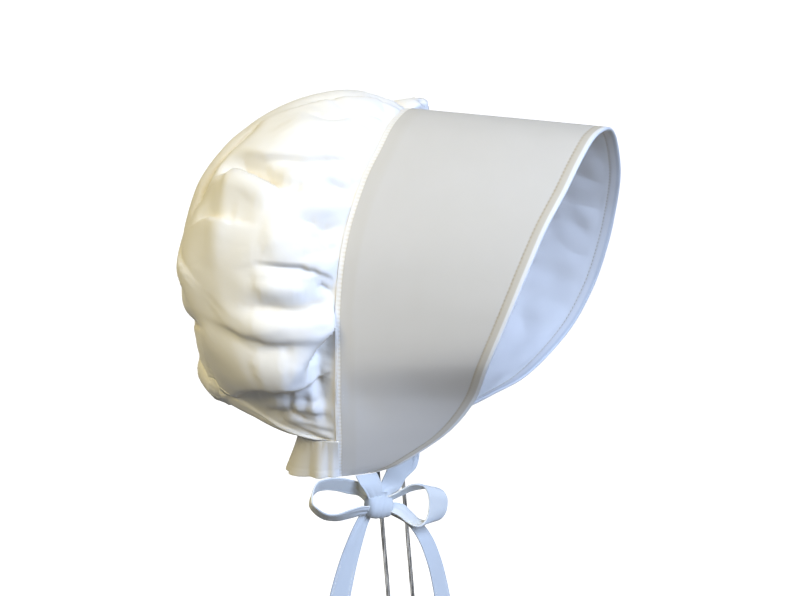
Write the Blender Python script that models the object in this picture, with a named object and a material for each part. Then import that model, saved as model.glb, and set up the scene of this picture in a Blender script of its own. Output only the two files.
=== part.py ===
"""A white cotton prairie bonnet on a plain wire stand.

Metres, +Z up. The wearer would face -Y, with the wearer's right at -X.
The origin is the middle of the stand's base plate, on the surface it stands on.
Tables are in millimetres and degrees, a row for each section or fold, and are
measured from the bonnet's own middle plane, which hangs a little off the post.
"""
from collections import namedtuple
from math import cos, pi, radians, sin

import bpy
import numpy as np
from mathutils import Vector
from mathutils.bvhtree import BVHTree

MM = 0.001
GAP = 0.3
SEAM_GAP = 0.7
BONNET_X = -9

# Cloth walls
BRIM_THICK = 2.2
CROWN_THICK = 1.5
CURTAIN_THICK = 1.3
BAND_WIDE = 6.5
BAND_THICK = 3.4
BAND_LIFT = 0.4
BAND_BEVEL = 1
BAND_SIDE = 0.6
TIE_THICK = 1.5
TIE_WIDE = 16

# Colours and roughness
CROWN_COLOUR = (0.92, 0.92, 0.91)
BRIM_COLOUR = (0.80, 0.78, 0.74)
BAND_COLOUR = (0.88, 0.87, 0.86)
TIE_COLOUR = (0.86, 0.88, 0.92)
STEEL_COLOUR = (0.6, 0.6, 0.6)
CLOTH_ROUGH = 0.85
STEEL_ROUGH = 0.25

# Mesh steps
BRIM_ROUND = 52
BRIM_DEEP = 5
CROWN_ROUND = 132
CROWN_RINGS = 12
CURTAIN_ROUND = 60
CURTAIN_DEEP = 4
STRAP_STEP = 5
KNOT_ROUND = 16
KNOT_RINGS = 9
LINE_STEPS = 160
FOLD_STEPS = 25
FINE_ROUND = 288
FINE_RINGS = 48

# The brim from its top to its lower corner. Seam is its edge at the crown, rim is
# its free edge round the face. The wearer's left rim hangs higher by left_up.
BrimRow = namedtuple("BrimRow", "place seam_x seam_y seam_z rim_x rim_y rim_z left_up")
BRIM_ROWS = [
    BrimRow("top", 0, -14, 515, 0, -156, 505, 0),
    BrimRow("crest", 24, -12, 506, 22, -154, 500, 0),
    BrimRow("shoulder", 45, -11, 489, 42, -151, 485, 0),
    BrimRow("temple", 62, -8, 470, 58, -147, 467, 0),
    BrimRow("above ear", 76, -4, 443, 74, -139, 443, 0),
    BrimRow("ear", 85, -2, 417, 84, -130, 415, 0),
    BrimRow("widest", 88, 0, 384, 88, -118, 383, 0),
    BrimRow("cheek", 86, 1, 348, 81, -102, 351, 0),
    BrimRow("jaw", 78, 5, 319, 53, -81, 321, 1),
    BrimRow("under jaw", 66, 10, 288, 41, -56, 294, 12),
    BrimRow("near corner", 56, 15, 267, 39, -22, 270, 16),
    BrimRow("corner", 52, 17, 259, 37, -2, 261, 4),
]
NECK_ROW = "under jaw"

# Where the neck is drawn in, and the hem of the curtain below it:
# each is half an ellipse from the band round the back
NECK_BACK_Y = 69
NECK_BACK_Z = 283
HEM_BACK_Y = 80
HEM_BACK_Z = 251
HEM_FLARE = 7
HEM_UP = 1.5

# The crown's ribs run from its gathered edge to the middle of its back.
# turn is the angle round the back from the top; out, back and reach shape the rib.
CROWN_BACK_Y = 163
CROWN_BACK_Z = 400
CrownRib = namedtuple("CrownRib", "place turn out back reach")
CROWN_RIBS = [
    CrownRib("top", 0, 38, 54, 108),
    CrownRib("top side", 35, 42, 50, 106),
    CrownRib("side", 90, 54, 42, 84),
    CrownRib("low side", 125, 42, 50, 90),
    CrownRib("neck side", 150, -4, 60, 86),
    CrownRib("nape", 180, -16, 66, 78),
]

# Gathers at the crown's edge and ruffles at the curtain's hem. The drift rows make
# them uneven: by how much of a gather, over how long a stretch.
GATHER_PITCH = 21
GATHER_DEEP = 2.2
GATHER_PEAK = 13
GATHER_BIAS = 1.2
GATHER_START = 6
GATHER_DRIFT = [(0.22, 97), (0.15, 61)]
RUFFLE_PITCH = 17
RUFFLE_DEEP = 3.0
RUFFLE_END = 12
FOLD_SHOULDER = 0.3
BACK_SMOOTH = 0.1
RING_SPREAD = 1.15

# Folds of the crown: a valley where deep is over zero, a puff where it is under,
# along a line between two places. side is -1 for the wearer's right, 1 for the left.
POUF_AT = (20, -2, 512)
POUF_ROUND = 20
POUF_LEAN = 6
CrownFold = namedtuple("CrownFold", "place side turn_a share_a turn_b share_b wide deep")
CROWN_FOLDS = [
    CrownFold("top puff", -1, 28, 0.45, 24, 0.15, 16, -5),
    CrownFold("under top puff", -1, 38, 0.47, 37, 0.07, 7, 5),
    CrownFold("top crease", -1, 19, 0.32, 12, 0.06, 5, 2.5),
    CrownFold("temple sag", -1, 41, 0.49, 55, 0.17, 7, 5),
    CrownFold("temple nick", -1, 49, 0.09, 49, 0.02, 4, 3),
    CrownFold("back of head", -1, 77, 0.57, 52, 0.63, 22, -4),
    CrownFold("ear dimple", -1, 62, 0.10, 76, 0.02, 5, 3),
    CrownFold("ear crease", -1, 84, 0.32, 84, 0.02, 6, 2.5),
    CrownFold("ear puff", -1, 90, 0.35, 91, 0.12, 9, -3),
    CrownFold("side sag", -1, 97, 0.37, 99, 0.03, 8, 4),
    CrownFold("side puff", -1, 104, 0.36, 104, 0.10, 10, -4),
    CrownFold("low crease", -1, 110, 0.52, 114, 0.22, 6, 5),
    CrownFold("low puff", -1, 120, 0.38, 120, 0.14, 12, -5),
    CrownFold("jaw hollow", -1, 132, 0.07, 143, 0.05, 14, 8),
    CrownFold("underside edge", -1, 149, 0.47, 130, 0.10, 7, 5),
    CrownFold("underside crease", -1, 128, 0.22, 143, 0.14, 5, 3),
    CrownFold("low back bulge", -1, 156, 0.62, 148, 0.50, 20, -8),
    CrownFold("back bulge", -1, 96, 0.72, 84, 0.66, 24, -5),
    CrownFold("crest puff", -1, 4, 0.20, 2, 0.05, 15, -1),
    CrownFold("left top pouf", 1, 13, 0.05, 24, 0.09, 12, -12),
    CrownFold("left top sag", 1, 36, 0.50, 40, 0.10, 7, 4),
    CrownFold("left temple puff", 1, 52, 0.40, 54, 0.12, 12, -4),
    CrownFold("left ear sag", 1, 64, 0.42, 68, 0.05, 7, 4),
    CrownFold("left side puff", 1, 80, 0.40, 82, 0.12, 13, -4),
    CrownFold("left side sag", 1, 95, 0.46, 93, 0.05, 8, 5),
    CrownFold("left low puff", 1, 108, 0.45, 106, 0.12, 12, -5),
    CrownFold("left low crease", 1, 120, 0.50, 115, 0.08, 6, 5),
    CrownFold("left jaw hollow", 1, 134, 0.07, 144, 0.05, 13, 7),
    CrownFold("left underside edge", 1, 150, 0.48, 133, 0.10, 7, 5),
    CrownFold("left low back bulge", 1, 158, 0.62, 146, 0.50, 20, -7),
    CrownFold("nape fold", 1, 178, 0.12, 172, 0.48, 6, 4),
    CrownFold("right nape fold", -1, 166, 0.14, 162, 0.40, 6, 4),
]

# The bow. along, up and toward are measured from the knot: along runs from the
# back loop to the front one, toward faces the wearer's right and front.
# turn and rise point the strap's width, from along towards toward, and up.
KNOT = (-36, 0, 235)
BOW_TURN = -45
KNOT_SIZE = (10.3, 9.3, 8.8)
KNOT_SHIFT = 1.8
KNOT_SQUARE = 4.5
KNOT_END = 0.98
TIE_START = 0.63
StrapRow = namedtuple("StrapRow", "along up toward wide turn rise")
NEAR_TIE = [
    StrapRow(-6, 17, 5, 16, -3, 0),
    StrapRow(-4, 11.5, 5, 12.5, 0, 0),
    StrapRow(-1, 3, 2, 9, 0, 0),
]
FAR_TIE = [
    StrapRow(48.5, 22, -50.5, 12, 72, -12),
    StrapRow(42.5, 20, -42.5, 13, 48, -30),
    StrapRow(27, 17, -27.5, 16, 30, -46),
    StrapRow(15.5, 12.5, -11.5, 15, 30, -46),
    StrapRow(7.5, 9, -3.5, 11, 30, -46),
    StrapRow(2, 3, -1, 8, 30, -46),
]
BACK_LOOP = [
    StrapRow(-5, 4, -3, 9, 90, 50),
    StrapRow(-10.5, 11, -6, 13, 100, 56),
    StrapRow(-19.5, 14.5, -4.5, 15.5, 105, 56),
    StrapRow(-31.5, 18, -0.5, 16, 110, 48),
    StrapRow(-40.5, 19.5, 4, 16, 110, 42),
    StrapRow(-48, 19, 8.5, 16, 107, 36),
    StrapRow(-53, 14.5, 13, 16, 103, 27),
    StrapRow(-54.5, 9, 16, 16, 101, 22),
    StrapRow(-51, 4.5, 17, 16, 98, 24),
    StrapRow(-45, 0.2, 16, 16, 101, 27),
    StrapRow(-36.5, -2.2, 13.5, 16, 106, 29),
    StrapRow(-23, -2, 8, 15, 110, 36),
    StrapRow(-13.5, -1.5, 4.5, 12, 108, 44),
    StrapRow(-5, -2, 2, 9, 100, 45),
]
FRONT_LOOP = [
    StrapRow(5, 4, 0, 9, 115, 26),
    StrapRow(11, 6, 3, 12, 112, 30),
    StrapRow(18, 9.5, 5, 14, 112, 31),
    StrapRow(24, 12.5, 7, 16, 114, 30),
    StrapRow(29, 13.5, 9, 16, 121, 26),
    StrapRow(34.5, 13.5, 10, 16, 143, 20),
    StrapRow(39.5, 11, 11, 16, 163, 14),
    StrapRow(42, 6, 12, 16, 168, 7),
    StrapRow(42.5, 0, 12, 16, 170, 2),
    StrapRow(41.5, -6, 12, 16, 168, 2),
    StrapRow(38.5, -11, 11.5, 16, 158, 3),
    StrapRow(34, -13, 11, 16, 138, 1),
    StrapRow(28.5, -12.7, 10, 16, 122, -4),
    StrapRow(23.5, -9.2, 8, 15, 119, -20),
    StrapRow(16, -3.1, 5.5, 13, 127, -28),
    StrapRow(11, -1.3, 4, 11, 130, -28),
    StrapRow(5, -2.5, 2, 9, 128, -22),
]
BACK_TAIL = [
    StrapRow(-5, -3, -3, 9, 0, 0),
    StrapRow(-10, -12, -3, 10.5, 0, 0),
    StrapRow(-17, -30, -3, 13.5, 0, 0),
    StrapRow(-23.5, -50, -2, 15, 5, 0),
    StrapRow(-29, -72, -1, 16, 8, 0),
    StrapRow(-33, -105, 1, 16, 12, 0),
    StrapRow(-34, -140, 2, 16, 16, 0),
    StrapRow(-33, -178, 2, 16, 18, 0),
]
FRONT_TAIL = [
    StrapRow(6, -3, -3, 9, 14, 0),
    StrapRow(18, -9, -5, 11, -4, 0),
    StrapRow(31.5, -18, -6, 13, -20, 0),
    StrapRow(39.5, -29, -6, 15, -27, 0),
    StrapRow(45.5, -44, -5, 16, -28, 0),
    StrapRow(52, -70, -4, 16, -26, 0),
    StrapRow(56, -105, -3, 16, -20, 0),
    StrapRow(57, -140, -2, 16, -15, 0),
    StrapRow(56, -172, -2, 16, -12, 0),
]

# The stand: a bent wire on a round plate
PLATE_RADIUS = 80
PLATE_THICK = 4
PLATE_BEVEL = 1
WIRE_RADIUS = 1.6
WIRE_SIDES = 10
WIRE_APART = 42
WIRE_FOOT_Y = -13
WIRE_LEAN = 0.09
PLATE_SIDES = 64
UPRIGHT_STEPS = 4
ARCH_STEPS = 14
SEATING_TRIES = 6


def spline(knots, values, at):
    """A smooth curve through rows of values, read at the given places."""
    knots = np.asarray(knots, float)
    values = np.asarray(values, float)
    at = np.clip(np.asarray(at, float), knots[0], knots[-1])
    slopes = np.gradient(values, knots, axis=0)
    span = np.clip(np.searchsorted(knots, at, side="right") - 1, 0, len(knots) - 2)
    step = knots[span + 1] - knots[span]
    s = (at - knots[span]) / step
    if values.ndim == 2:
        s = s[:, None]
        step = step[:, None]
    start = (2 * s**3 - 3 * s**2 + 1) * values[span]
    leave = (s**3 - 2 * s**2 + s) * step * slopes[span]
    end = (-2 * s**3 + 3 * s**2) * values[span + 1]
    arrive = (s**3 - s**2) * step * slopes[span + 1]
    return start + leave + end + arrive


def far_along(line):
    """How far each point of a line is from its start, along the line."""
    lengths = np.linalg.norm(np.diff(line, axis=0), axis=1)
    return np.concatenate([[0], np.cumsum(lengths)])


def resample(line, count, closed=False):
    """The same line with evenly spaced points."""
    if closed:
        line = np.vstack([line, line[:1]])
    far = far_along(line)
    at = np.linspace(0, far[-1], count + 1 if closed else count)
    out = np.stack([np.interp(at, far, line[:, k]) for k in range(3)], axis=1)
    return out[:-1] if closed else out


def unit(v):
    return v / np.maximum(np.linalg.norm(v, axis=-1, keepdims=True), 1e-9)


def grid_normals(grid, wrap):
    """Normals of a grid of points, from its two directions."""
    if wrap:
        along = np.roll(grid, -1, axis=0) - np.roll(grid, 1, axis=0)
    else:
        along = np.gradient(grid, axis=0)
    across = np.gradient(grid, axis=1)
    return unit(np.cross(along, across))


def make_object(name, verts, faces, colour, roughness, metallic=0.0):
    """One closed mesh object with its own material, from points in millimetres."""
    mesh = bpy.data.meshes.new(name)
    mesh.from_pydata((np.asarray(verts) * MM).tolist(), [], faces)
    mesh.update()
    mesh.shade_smooth()
    mesh.set_sharp_from_angle(angle=radians(50))
    obj = bpy.data.objects.new(name, mesh)
    bpy.context.scene.collection.objects.link(obj)
    material = bpy.data.materials.new(name)
    material.use_nodes = True
    shader = material.node_tree.nodes["Principled BSDF"]
    shader.inputs["Base Color"].default_value = (*colour, 1.0)
    shader.inputs["Roughness"].default_value = roughness
    shader.inputs["Metallic"].default_value = metallic
    mesh.materials.append(material)
    return obj


def shell(outer, inner, wrap=False, pole=False):
    """Points and faces of a wall between two grids. A wrapped grid closes on
    itself, and a pole closes the last ring at one point."""
    count, deep = outer.shape[:2]
    rings = deep - 1 if pole else deep
    verts = []
    index = np.zeros((2, count, deep), int)
    for side, grid in enumerate((outer, inner)):
        for i in range(count):
            for j in range(rings):
                index[side, i, j] = len(verts)
                verts.append(grid[i, j])
        if pole:
            index[side, :, deep - 1] = len(verts)
            verts.append(grid[0, deep - 1])
    faces = []

    def add(*corners):
        kept = [int(c) for n, c in enumerate(corners) if c != corners[n - 1]]
        faces.append(kept)

    for i in range(count if wrap else count - 1):
        k = (i + 1) % count
        for j in range(deep - 1):
            add(index[0, i, j], index[0, k, j], index[0, k, j + 1], index[0, i, j + 1])
            add(index[1, i, j + 1], index[1, k, j + 1], index[1, k, j], index[1, i, j])
        add(index[1, i, 0], index[1, k, 0], index[0, k, 0], index[0, i, 0])
        if not pole:
            add(index[0, i, -1], index[0, k, -1], index[1, k, -1], index[1, i, -1])
    if not wrap:
        for j in range(deep - 1):
            add(index[0, 0, j], index[0, 0, j + 1], index[1, 0, j + 1], index[1, 0, j])
            add(index[1, -1, j], index[1, -1, j + 1], index[0, -1, j + 1], index[0, -1, j])
    return np.array(verts), faces


def tube(rings):
    """Points and faces of a closed bar through rings with equal numbers of points."""
    count = rings.shape[1]
    faces = []
    for i in range(len(rings) - 1):
        for j in range(count):
            k = (j + 1) % count
            faces.append([i * count + j, i * count + k, (i + 1) * count + k, (i + 1) * count + j])
    faces.append(list(range(count))[::-1])
    last = (len(rings) - 1) * count
    faces.append([last + j for j in range(count)])
    return rings.reshape(-1, 3), faces


def worn(points):
    """Points of the bonnet moved to where it hangs on the stand."""
    return points + np.array([BONNET_X, 0, 0])


def brim_lines(places):
    """Seam and rim points for places from -1, the right corner, to 1, the left."""
    right = []
    left = []
    for row in BRIM_ROWS:
        right.append((-row.seam_x, row.seam_y, row.seam_z, -row.rim_x, row.rim_y, row.rim_z))
        left.append((row.seam_x, row.seam_y, row.seam_z, row.rim_x, row.rim_y, row.rim_z + row.left_up))
    both = np.array(right[:0:-1] + left, float)
    values = spline(np.linspace(-1, 1, len(both)), both, places)
    return values[:, :3], values[:, 3:]


def brim_frame(places):
    """Seam points with the brim's own directions there: forward and outward."""
    seam, rim = brim_lines(places)
    forward = unit(rim - seam)
    along = np.gradient(seam, axis=0)
    outward = unit(np.cross(along, forward))
    return seam, forward, outward


def behind_band(places):
    """Where the cloth meets the back of the band."""
    seam, forward, _ = brim_frame(places)
    return seam - forward * (BAND_WIDE + SEAM_GAP)


def make_brim():
    seam, rim = brim_lines(np.linspace(-1, 1, BRIM_ROUND + 1))
    share = np.linspace(0, 1, BRIM_DEEP + 1)[None, :, None]
    middle = seam[:, None] * (1 - share) + rim[:, None] * share
    normal = grid_normals(middle, wrap=False)
    verts, faces = shell(middle + normal * BRIM_THICK / 2, middle - normal * BRIM_THICK / 2)
    make_object("brim", worn(verts), faces, BRIM_COLOUR, CLOTH_ROUGH)


def make_band():
    """The narrow raised band between the brim and the crown."""
    seam, forward, outward = brim_frame(np.linspace(-1, 1, BRIM_ROUND + 1))
    high = BAND_THICK / 2
    side = high * BAND_SIDE
    section = [(GAP, -high), (GAP, side), (GAP + BAND_BEVEL, high), (BAND_WIDE - BAND_BEVEL, high),
               (BAND_WIDE, side), (BAND_WIDE, -high)]
    rings = np.stack([seam - forward * far + outward * (up + BAND_LIFT) for far, up in section], axis=1)
    verts, faces = tube(rings)
    make_object("brim_band", worn(verts), faces, BAND_COLOUR, CLOTH_ROUGH)


def neck_place():
    """The place on the brim's seam where the neck line leaves it."""
    names = [row.place for row in BRIM_ROWS]
    return names.index(NECK_ROW) / (len(names) - 1)


def round_back(corner, back_y, back_z, flare):
    """Half an ellipse from the right corner round the back to the left one."""
    turn = np.linspace(0, pi, LINE_STEPS + 1)
    bulge = np.sin(turn)
    x = (corner[0] - flare * bulge**0.5) * np.cos(turn)
    y = corner[1] + (back_y - corner[1]) * bulge
    z = corner[2] + (back_z - corner[2]) * bulge
    return np.stack([x, y, z], axis=1)


def crown_edge(count):
    """The loop that the crown is gathered to: behind the band, and the neck line."""
    neck = neck_place()
    behind = behind_band(np.linspace(-neck, neck, LINE_STEPS + 1))
    back = round_back(behind[0], NECK_BACK_Y, NECK_BACK_Z, 0)[::-1]
    loop = np.vstack([behind, back[1:-1]])
    return resample(np.roll(loop, -(len(behind) // 2), axis=0), count, closed=True)


def crown_base(count, rings):
    """The crown's plain full form: a grid of points from its edge to its back, the
    turn and side of each rib, and the share of the way along it of each ring."""
    edge = crown_edge(count)
    back = np.array([0, CROWN_BACK_Y, CROWN_BACK_Z], float)
    radial = edge - back
    radial[:, 1] = 0
    radial = unit(radial)
    turn = np.degrees(np.arctan2(np.abs(radial[:, 0]), radial[:, 2]))
    out, behind, reach = spline([rib.turn for rib in CROWN_RIBS], [rib[2:] for rib in CROWN_RIBS], turn).T
    first = edge + radial * out[:, None]
    first[:, 1] += behind
    second = back + radial * reach[:, None]
    share = np.linspace(0, 1, rings + 1) ** RING_SPREAD
    t = share[None, :, None]
    grid = (edge[:, None] * (1 - t) ** 3 + first[:, None] * 3 * t * (1 - t) ** 2
            + second[:, None] * 3 * t**2 * (1 - t) + back * t**3)
    return grid, turn, np.sign(edge[:, 0]), share


def crown_normals(grid):
    """The crown's normals. Its edge stands square to the band, its back faces back."""
    normal = grid_normals(grid, wrap=True)
    radial = grid[:, 0] - (0, 0, CROWN_BACK_Z)
    radial[:, 1] = 0
    normal[:, 0] = unit(radial)
    normal[:, -1] = (0, 1, 0)
    return normal


def gather_wave(far, pitch):
    """Uneven round puffs with narrow valleys between them, from 0 to 1."""
    phase = far / pitch
    for drift, stretch in GATHER_DRIFT:
        phase = phase + drift * np.sin(2 * pi * far / stretch)
    return np.abs(np.sin(pi * phase))


def fold_shift(grid, fold):
    """How far one fold moves each point of the crown inwards."""
    base, turn, side, share = crown_base(FINE_ROUND, FINE_RINGS)
    shares = np.linspace(fold.share_a, fold.share_b, FOLD_STEPS)
    turns = np.linspace(fold.turn_a, fold.turn_b, FOLD_STEPS)
    near = np.full(grid.shape[:2], np.inf)
    for at_turn, at_share in zip(turns, shares):
        rib = np.argmin(np.abs(turn - at_turn) + 360 * (side == -fold.side))
        point = base[rib, np.argmin(np.abs(share - at_share))]
        near = np.minimum(near, np.linalg.norm(grid - point, axis=2))
    valley = np.exp(-((near / fold.wide) ** 2))
    shoulder = FOLD_SHOULDER * np.exp(-(((near - 2 * fold.wide) / fold.wide) ** 2))
    return fold.deep * (valley - shoulder)


def crown_surface(count, rings):
    """The crown's outer surface with its gathers and folds."""
    grid, _, _, share = crown_base(count, rings)
    normal = crown_normals(grid)
    far_round = far_along(grid[:, 0])[:, None]
    far_in = np.stack([far_along(rib) for rib in grid])
    swell = far_in / GATHER_PEAK * np.exp(1 - far_in / GATHER_PEAK)
    shift = GATHER_DEEP * swell * (2 * gather_wave(far_round, GATHER_PITCH) - GATHER_BIAS)
    for fold in CROWN_FOLDS:
        shift = shift - fold_shift(grid, fold)
    start = np.clip(far_in / GATHER_START, 0, 1)
    shift = shift * start * np.clip((1 - share) / BACK_SMOOTH, 0, 1)
    pouf = np.exp(-((np.linalg.norm(grid - POUF_AT, axis=2) / POUF_ROUND) ** 2))
    lean = POUF_LEAN * pouf * start
    return grid + normal * shift[:, :, None] - lean[:, :, None] * (0, 1, 0)


def make_crown():
    outer = crown_surface(CROWN_ROUND, CROWN_RINGS)
    inner = outer - crown_normals(outer) * CROWN_THICK
    verts, faces = shell(outer, inner, wrap=True, pole=True)
    return make_object("crown", worn(verts), faces, CROWN_COLOUR, CLOTH_ROUGH)


def make_curtain():
    """The short frill below the drawn-in neck, open at the front."""
    neck = neck_place()
    behind = behind_band(np.array([-1.0, -0.5 - neck / 2, -neck]))
    top = resample(round_back(behind[2], NECK_BACK_Y, NECK_BACK_Z, 0), CURTAIN_ROUND + 1)
    hem = resample(round_back(behind[0], HEM_BACK_Y, HEM_BACK_Z, HEM_FLARE), CURTAIN_ROUND + 1)
    hem[:, 2] += HEM_UP
    share = np.linspace(0, 1, CURTAIN_DEEP + 1)[None, :, None]
    middle = top[:, None] * (1 - share) + hem[:, None] * share
    middle[:, :, 2] -= CROWN_THICK / 2 + GAP
    normal = grid_normals(middle, wrap=False)
    far = far_along(top)
    ends = np.clip(np.minimum(far, far[-1] - far) / RUFFLE_END, 0, 1)[:, None]
    wave = 2 * gather_wave(far, RUFFLE_PITCH)[:, None] - GATHER_BIAS
    middle = middle + normal * (RUFFLE_DEEP * wave * ends * share[:, :, 0] ** 0.7)[:, :, None]
    normal = grid_normals(middle, wrap=False)
    verts, faces = shell(middle + normal * CURTAIN_THICK / 2, middle - normal * CURTAIN_THICK / 2)
    make_object("curtain", worn(verts), faces, CROWN_COLOUR, CLOTH_ROUGH)


def bow_axes():
    """The bow's along, up and toward directions."""
    turn = radians(BOW_TURN)
    along = np.array([cos(turn), sin(turn), 0])
    toward = np.array([sin(turn), -cos(turn), 0])
    return np.array([along, [0, 0, 1], toward])


def strap(rows, start=None):
    """Points and faces of a flat strap through rows, from a start on the brim if
    one is given as a point and a width direction."""
    axes = bow_axes()
    points = [np.array([row.along, row.up, row.toward]) @ axes + KNOT for row in rows]
    widths = []
    for row in rows:
        turn = radians(row.turn)
        rise = radians(row.rise)
        way = np.array([cos(rise) * cos(turn), sin(rise), cos(rise) * sin(turn)])
        widths.append(way @ axes * row.wide)
    if start is not None:
        points.insert(0, start[0])
        widths.insert(0, start[1])
    far = far_along(np.array(points))
    at = np.linspace(0, far[-1], max(3, round(far[-1] / STRAP_STEP)))
    line = spline(far, points, at)
    wide = spline(far, widths, at)
    way = unit(np.gradient(line, axis=0))
    thick = unit(np.cross(way, wide)) * TIE_THICK
    rings = np.stack([line - wide / 2 - thick / 2, line + wide / 2 - thick / 2,
                      line + wide / 2 + thick / 2, line - wide / 2 + thick / 2], axis=1)
    return tube(rings)


def brim_end(side):
    """Where a tie starts, on the brim's lower edge, and the direction of that edge."""
    seam, rim = brim_lines(np.array([float(side)]))
    start = seam[0] + (rim[0] - seam[0]) * TIE_START
    start[2] -= BRIM_THICK / 2 + GAP
    return start, unit(rim[0] - seam[0]) * TIE_WIDE


def knot(room):
    """Points and faces of the barrel-shaped knot, swelled by some room."""
    turns = np.linspace(0, 2 * pi, KNOT_ROUND, endpoint=False)
    rings = []
    for level in np.linspace(-KNOT_END, KNOT_END, KNOT_RINGS):
        round_in = (1 - abs(level) ** KNOT_SQUARE) ** 0.5
        rings.append([(level, round_in * cos(turn), round_in * sin(turn)) for turn in turns])
    points = np.array(rings) * (np.array(KNOT_SIZE) + room) + (KNOT_SHIFT, 0, 0)
    points = points @ bow_axes() + KNOT
    return tube(points)


def make_bow():
    """The knot with its loops and tails, joined into one body."""
    verts, faces = knot(0)
    bow = make_object("bow", worn(verts), faces, TIE_COLOUR, CLOTH_ROUGH)
    parts = {"back_loop": BACK_LOOP, "front_loop": FRONT_LOOP}
    parts |= {"back_tail": BACK_TAIL, "front_tail": FRONT_TAIL}
    for name, rows in parts.items():
        verts, faces = strap(rows)
        piece = make_object(name, worn(verts), faces, TIE_COLOUR, CLOTH_ROUGH)
        combine(bow, piece, "UNION")


def make_ties():
    """The ties run into the knot, and are cut off just short of it."""
    verts, faces = knot(GAP)
    room = make_object("knot_room", worn(verts), faces, TIE_COLOUR, CLOTH_ROUGH)
    for name, side, rows in (("tie_right", -1, NEAR_TIE), ("tie_left", 1, FAR_TIE)):
        verts, faces = strap(rows, brim_end(side))
        tie = make_object(name, worn(verts), faces, TIE_COLOUR, CLOTH_ROUGH)
        combine(tie, room, "DIFFERENCE")


def combine(whole, piece, operation):
    """Fuse a piece into a whole or cut it out, and keep the piece only as a guide."""
    boolean = whole.modifiers.new(piece.name, "BOOLEAN")
    boolean.operation = operation
    boolean.solver = "EXACT"
    boolean.object = piece
    piece.hide_render = True
    piece.display_type = "WIRE"


def wire_line(top):
    """The middle line of the stand's wire: up, over a round arch and down again."""
    half = WIRE_APART / 2
    bend = top - half
    heights = np.linspace(PLATE_THICK / 2, bend, UPRIGHT_STEPS + 1)
    line = [(half, z) for z in heights]
    line += [(half * cos(a), bend + half * sin(a)) for a in np.linspace(0, pi, ARCH_STEPS + 1)[1:-1]]
    line += [(-half, z) for z in reversed(heights)]
    return np.array([(x, WIRE_FOOT_Y + WIRE_LEAN * z, z) for x, z in line])


def arch_top(crown):
    """How high the arch can stand: just below the inside of the crown that it holds up."""
    points = [v.co for v in crown.data.vertices]
    inside = BVHTree.FromPolygons(points, [face.vertices for face in crown.data.polygons])
    top = CROWN_BACK_Z
    for _ in range(SEATING_TRIES):
        room = []
        for x, y, z in wire_line(top):
            if z > top - WIRE_APART / 4:
                hit = inside.ray_cast(Vector((x, y, z)) * MM, Vector((0, 0, 1)))
                room.append(hit[3] / MM - WIRE_RADIUS - GAP)
        top += min(room)
    return top


def make_stand(crown):
    """A wire bent into a tall narrow arch, soldered to a round plate."""
    path = wire_line(arch_top(crown))
    way = unit(np.gradient(path, axis=0))
    across = unit(np.cross(way, (0, 1, WIRE_LEAN)))
    other = np.cross(way, across)
    rings = []
    for turn in np.linspace(0, 2 * pi, WIRE_SIDES, endpoint=False):
        rings.append(path + WIRE_RADIUS * (across * cos(turn) + other * sin(turn)))
    verts, faces = tube(np.stack(rings, axis=1))
    wire = make_object("wire", verts, faces, STEEL_COLOUR, STEEL_ROUGH, metallic=1)
    turns = np.linspace(0, 2 * pi, PLATE_SIDES, endpoint=False)
    inner = PLATE_RADIUS - PLATE_BEVEL
    outline = [(PLATE_RADIUS, 0), (PLATE_RADIUS, PLATE_THICK - PLATE_BEVEL), (inner, PLATE_THICK)]
    rings = [[(r * cos(turn), r * sin(turn), z) for turn in turns] for r, z in outline]
    verts, faces = tube(np.array(rings))
    stand = make_object("wire_stand", verts, faces, STEEL_COLOUR, STEEL_ROUGH, metallic=1)
    combine(stand, wire, "UNION")


def clear_scene():
    for obj in list(bpy.data.objects):
        bpy.data.objects.remove(obj, do_unlink=True)


clear_scene()
make_brim()
make_band()
crown = make_crown()
make_curtain()
make_ties()
make_bow()
make_stand(crown)
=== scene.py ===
# %% [markdown]
# # A white cotton prairie bonnet on a wire stand
#
# The bonnet has a stiff, deep brim, a soft crown that is gathered behind a narrow
# raised band, a short neck frill, and two ties made into a bow. This lesson dresses
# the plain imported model: each cloth piece is made again as a fine, folded sheet in
# the place of its plain solid, and the steel stand keeps its solid and gets a finish.
#
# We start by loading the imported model. It is in metres, with +Z up. The wearer
# would face -Y, and the wearer's right is at -X.

# %% Load the frame
from collections import namedtuple
from math import cos, pi, radians, sin

import bpy
import bmesh
import numpy as np
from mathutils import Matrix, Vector


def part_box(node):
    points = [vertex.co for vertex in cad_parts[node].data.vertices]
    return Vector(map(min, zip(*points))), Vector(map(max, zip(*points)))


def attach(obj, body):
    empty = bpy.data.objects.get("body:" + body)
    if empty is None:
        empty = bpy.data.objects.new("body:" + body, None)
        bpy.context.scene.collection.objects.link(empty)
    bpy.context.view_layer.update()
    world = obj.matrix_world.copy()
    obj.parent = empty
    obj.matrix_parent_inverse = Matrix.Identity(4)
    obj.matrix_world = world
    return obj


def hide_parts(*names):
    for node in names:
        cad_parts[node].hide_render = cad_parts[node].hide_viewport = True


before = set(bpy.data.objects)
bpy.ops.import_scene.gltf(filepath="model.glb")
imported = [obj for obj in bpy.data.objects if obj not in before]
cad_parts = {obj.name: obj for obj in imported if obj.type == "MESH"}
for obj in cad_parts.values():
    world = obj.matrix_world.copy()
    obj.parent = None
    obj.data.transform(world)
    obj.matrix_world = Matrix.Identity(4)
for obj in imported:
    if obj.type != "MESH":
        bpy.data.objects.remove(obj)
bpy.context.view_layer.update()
for node in sorted(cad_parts):
    low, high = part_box(node)
    print(node, [round((b - a) * 1000) for a, b in zip(low, high)], "mm")

# %% [markdown]
# ## Camera
#
# The photograph looks at the wearer's right side and a little at the front, from
# just above. A long lens far away keeps the brim's ellipse as flat as it is there.
# The camera is turned to its aim by a quaternion, which is how a track-to
# constraint would leave it.

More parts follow.
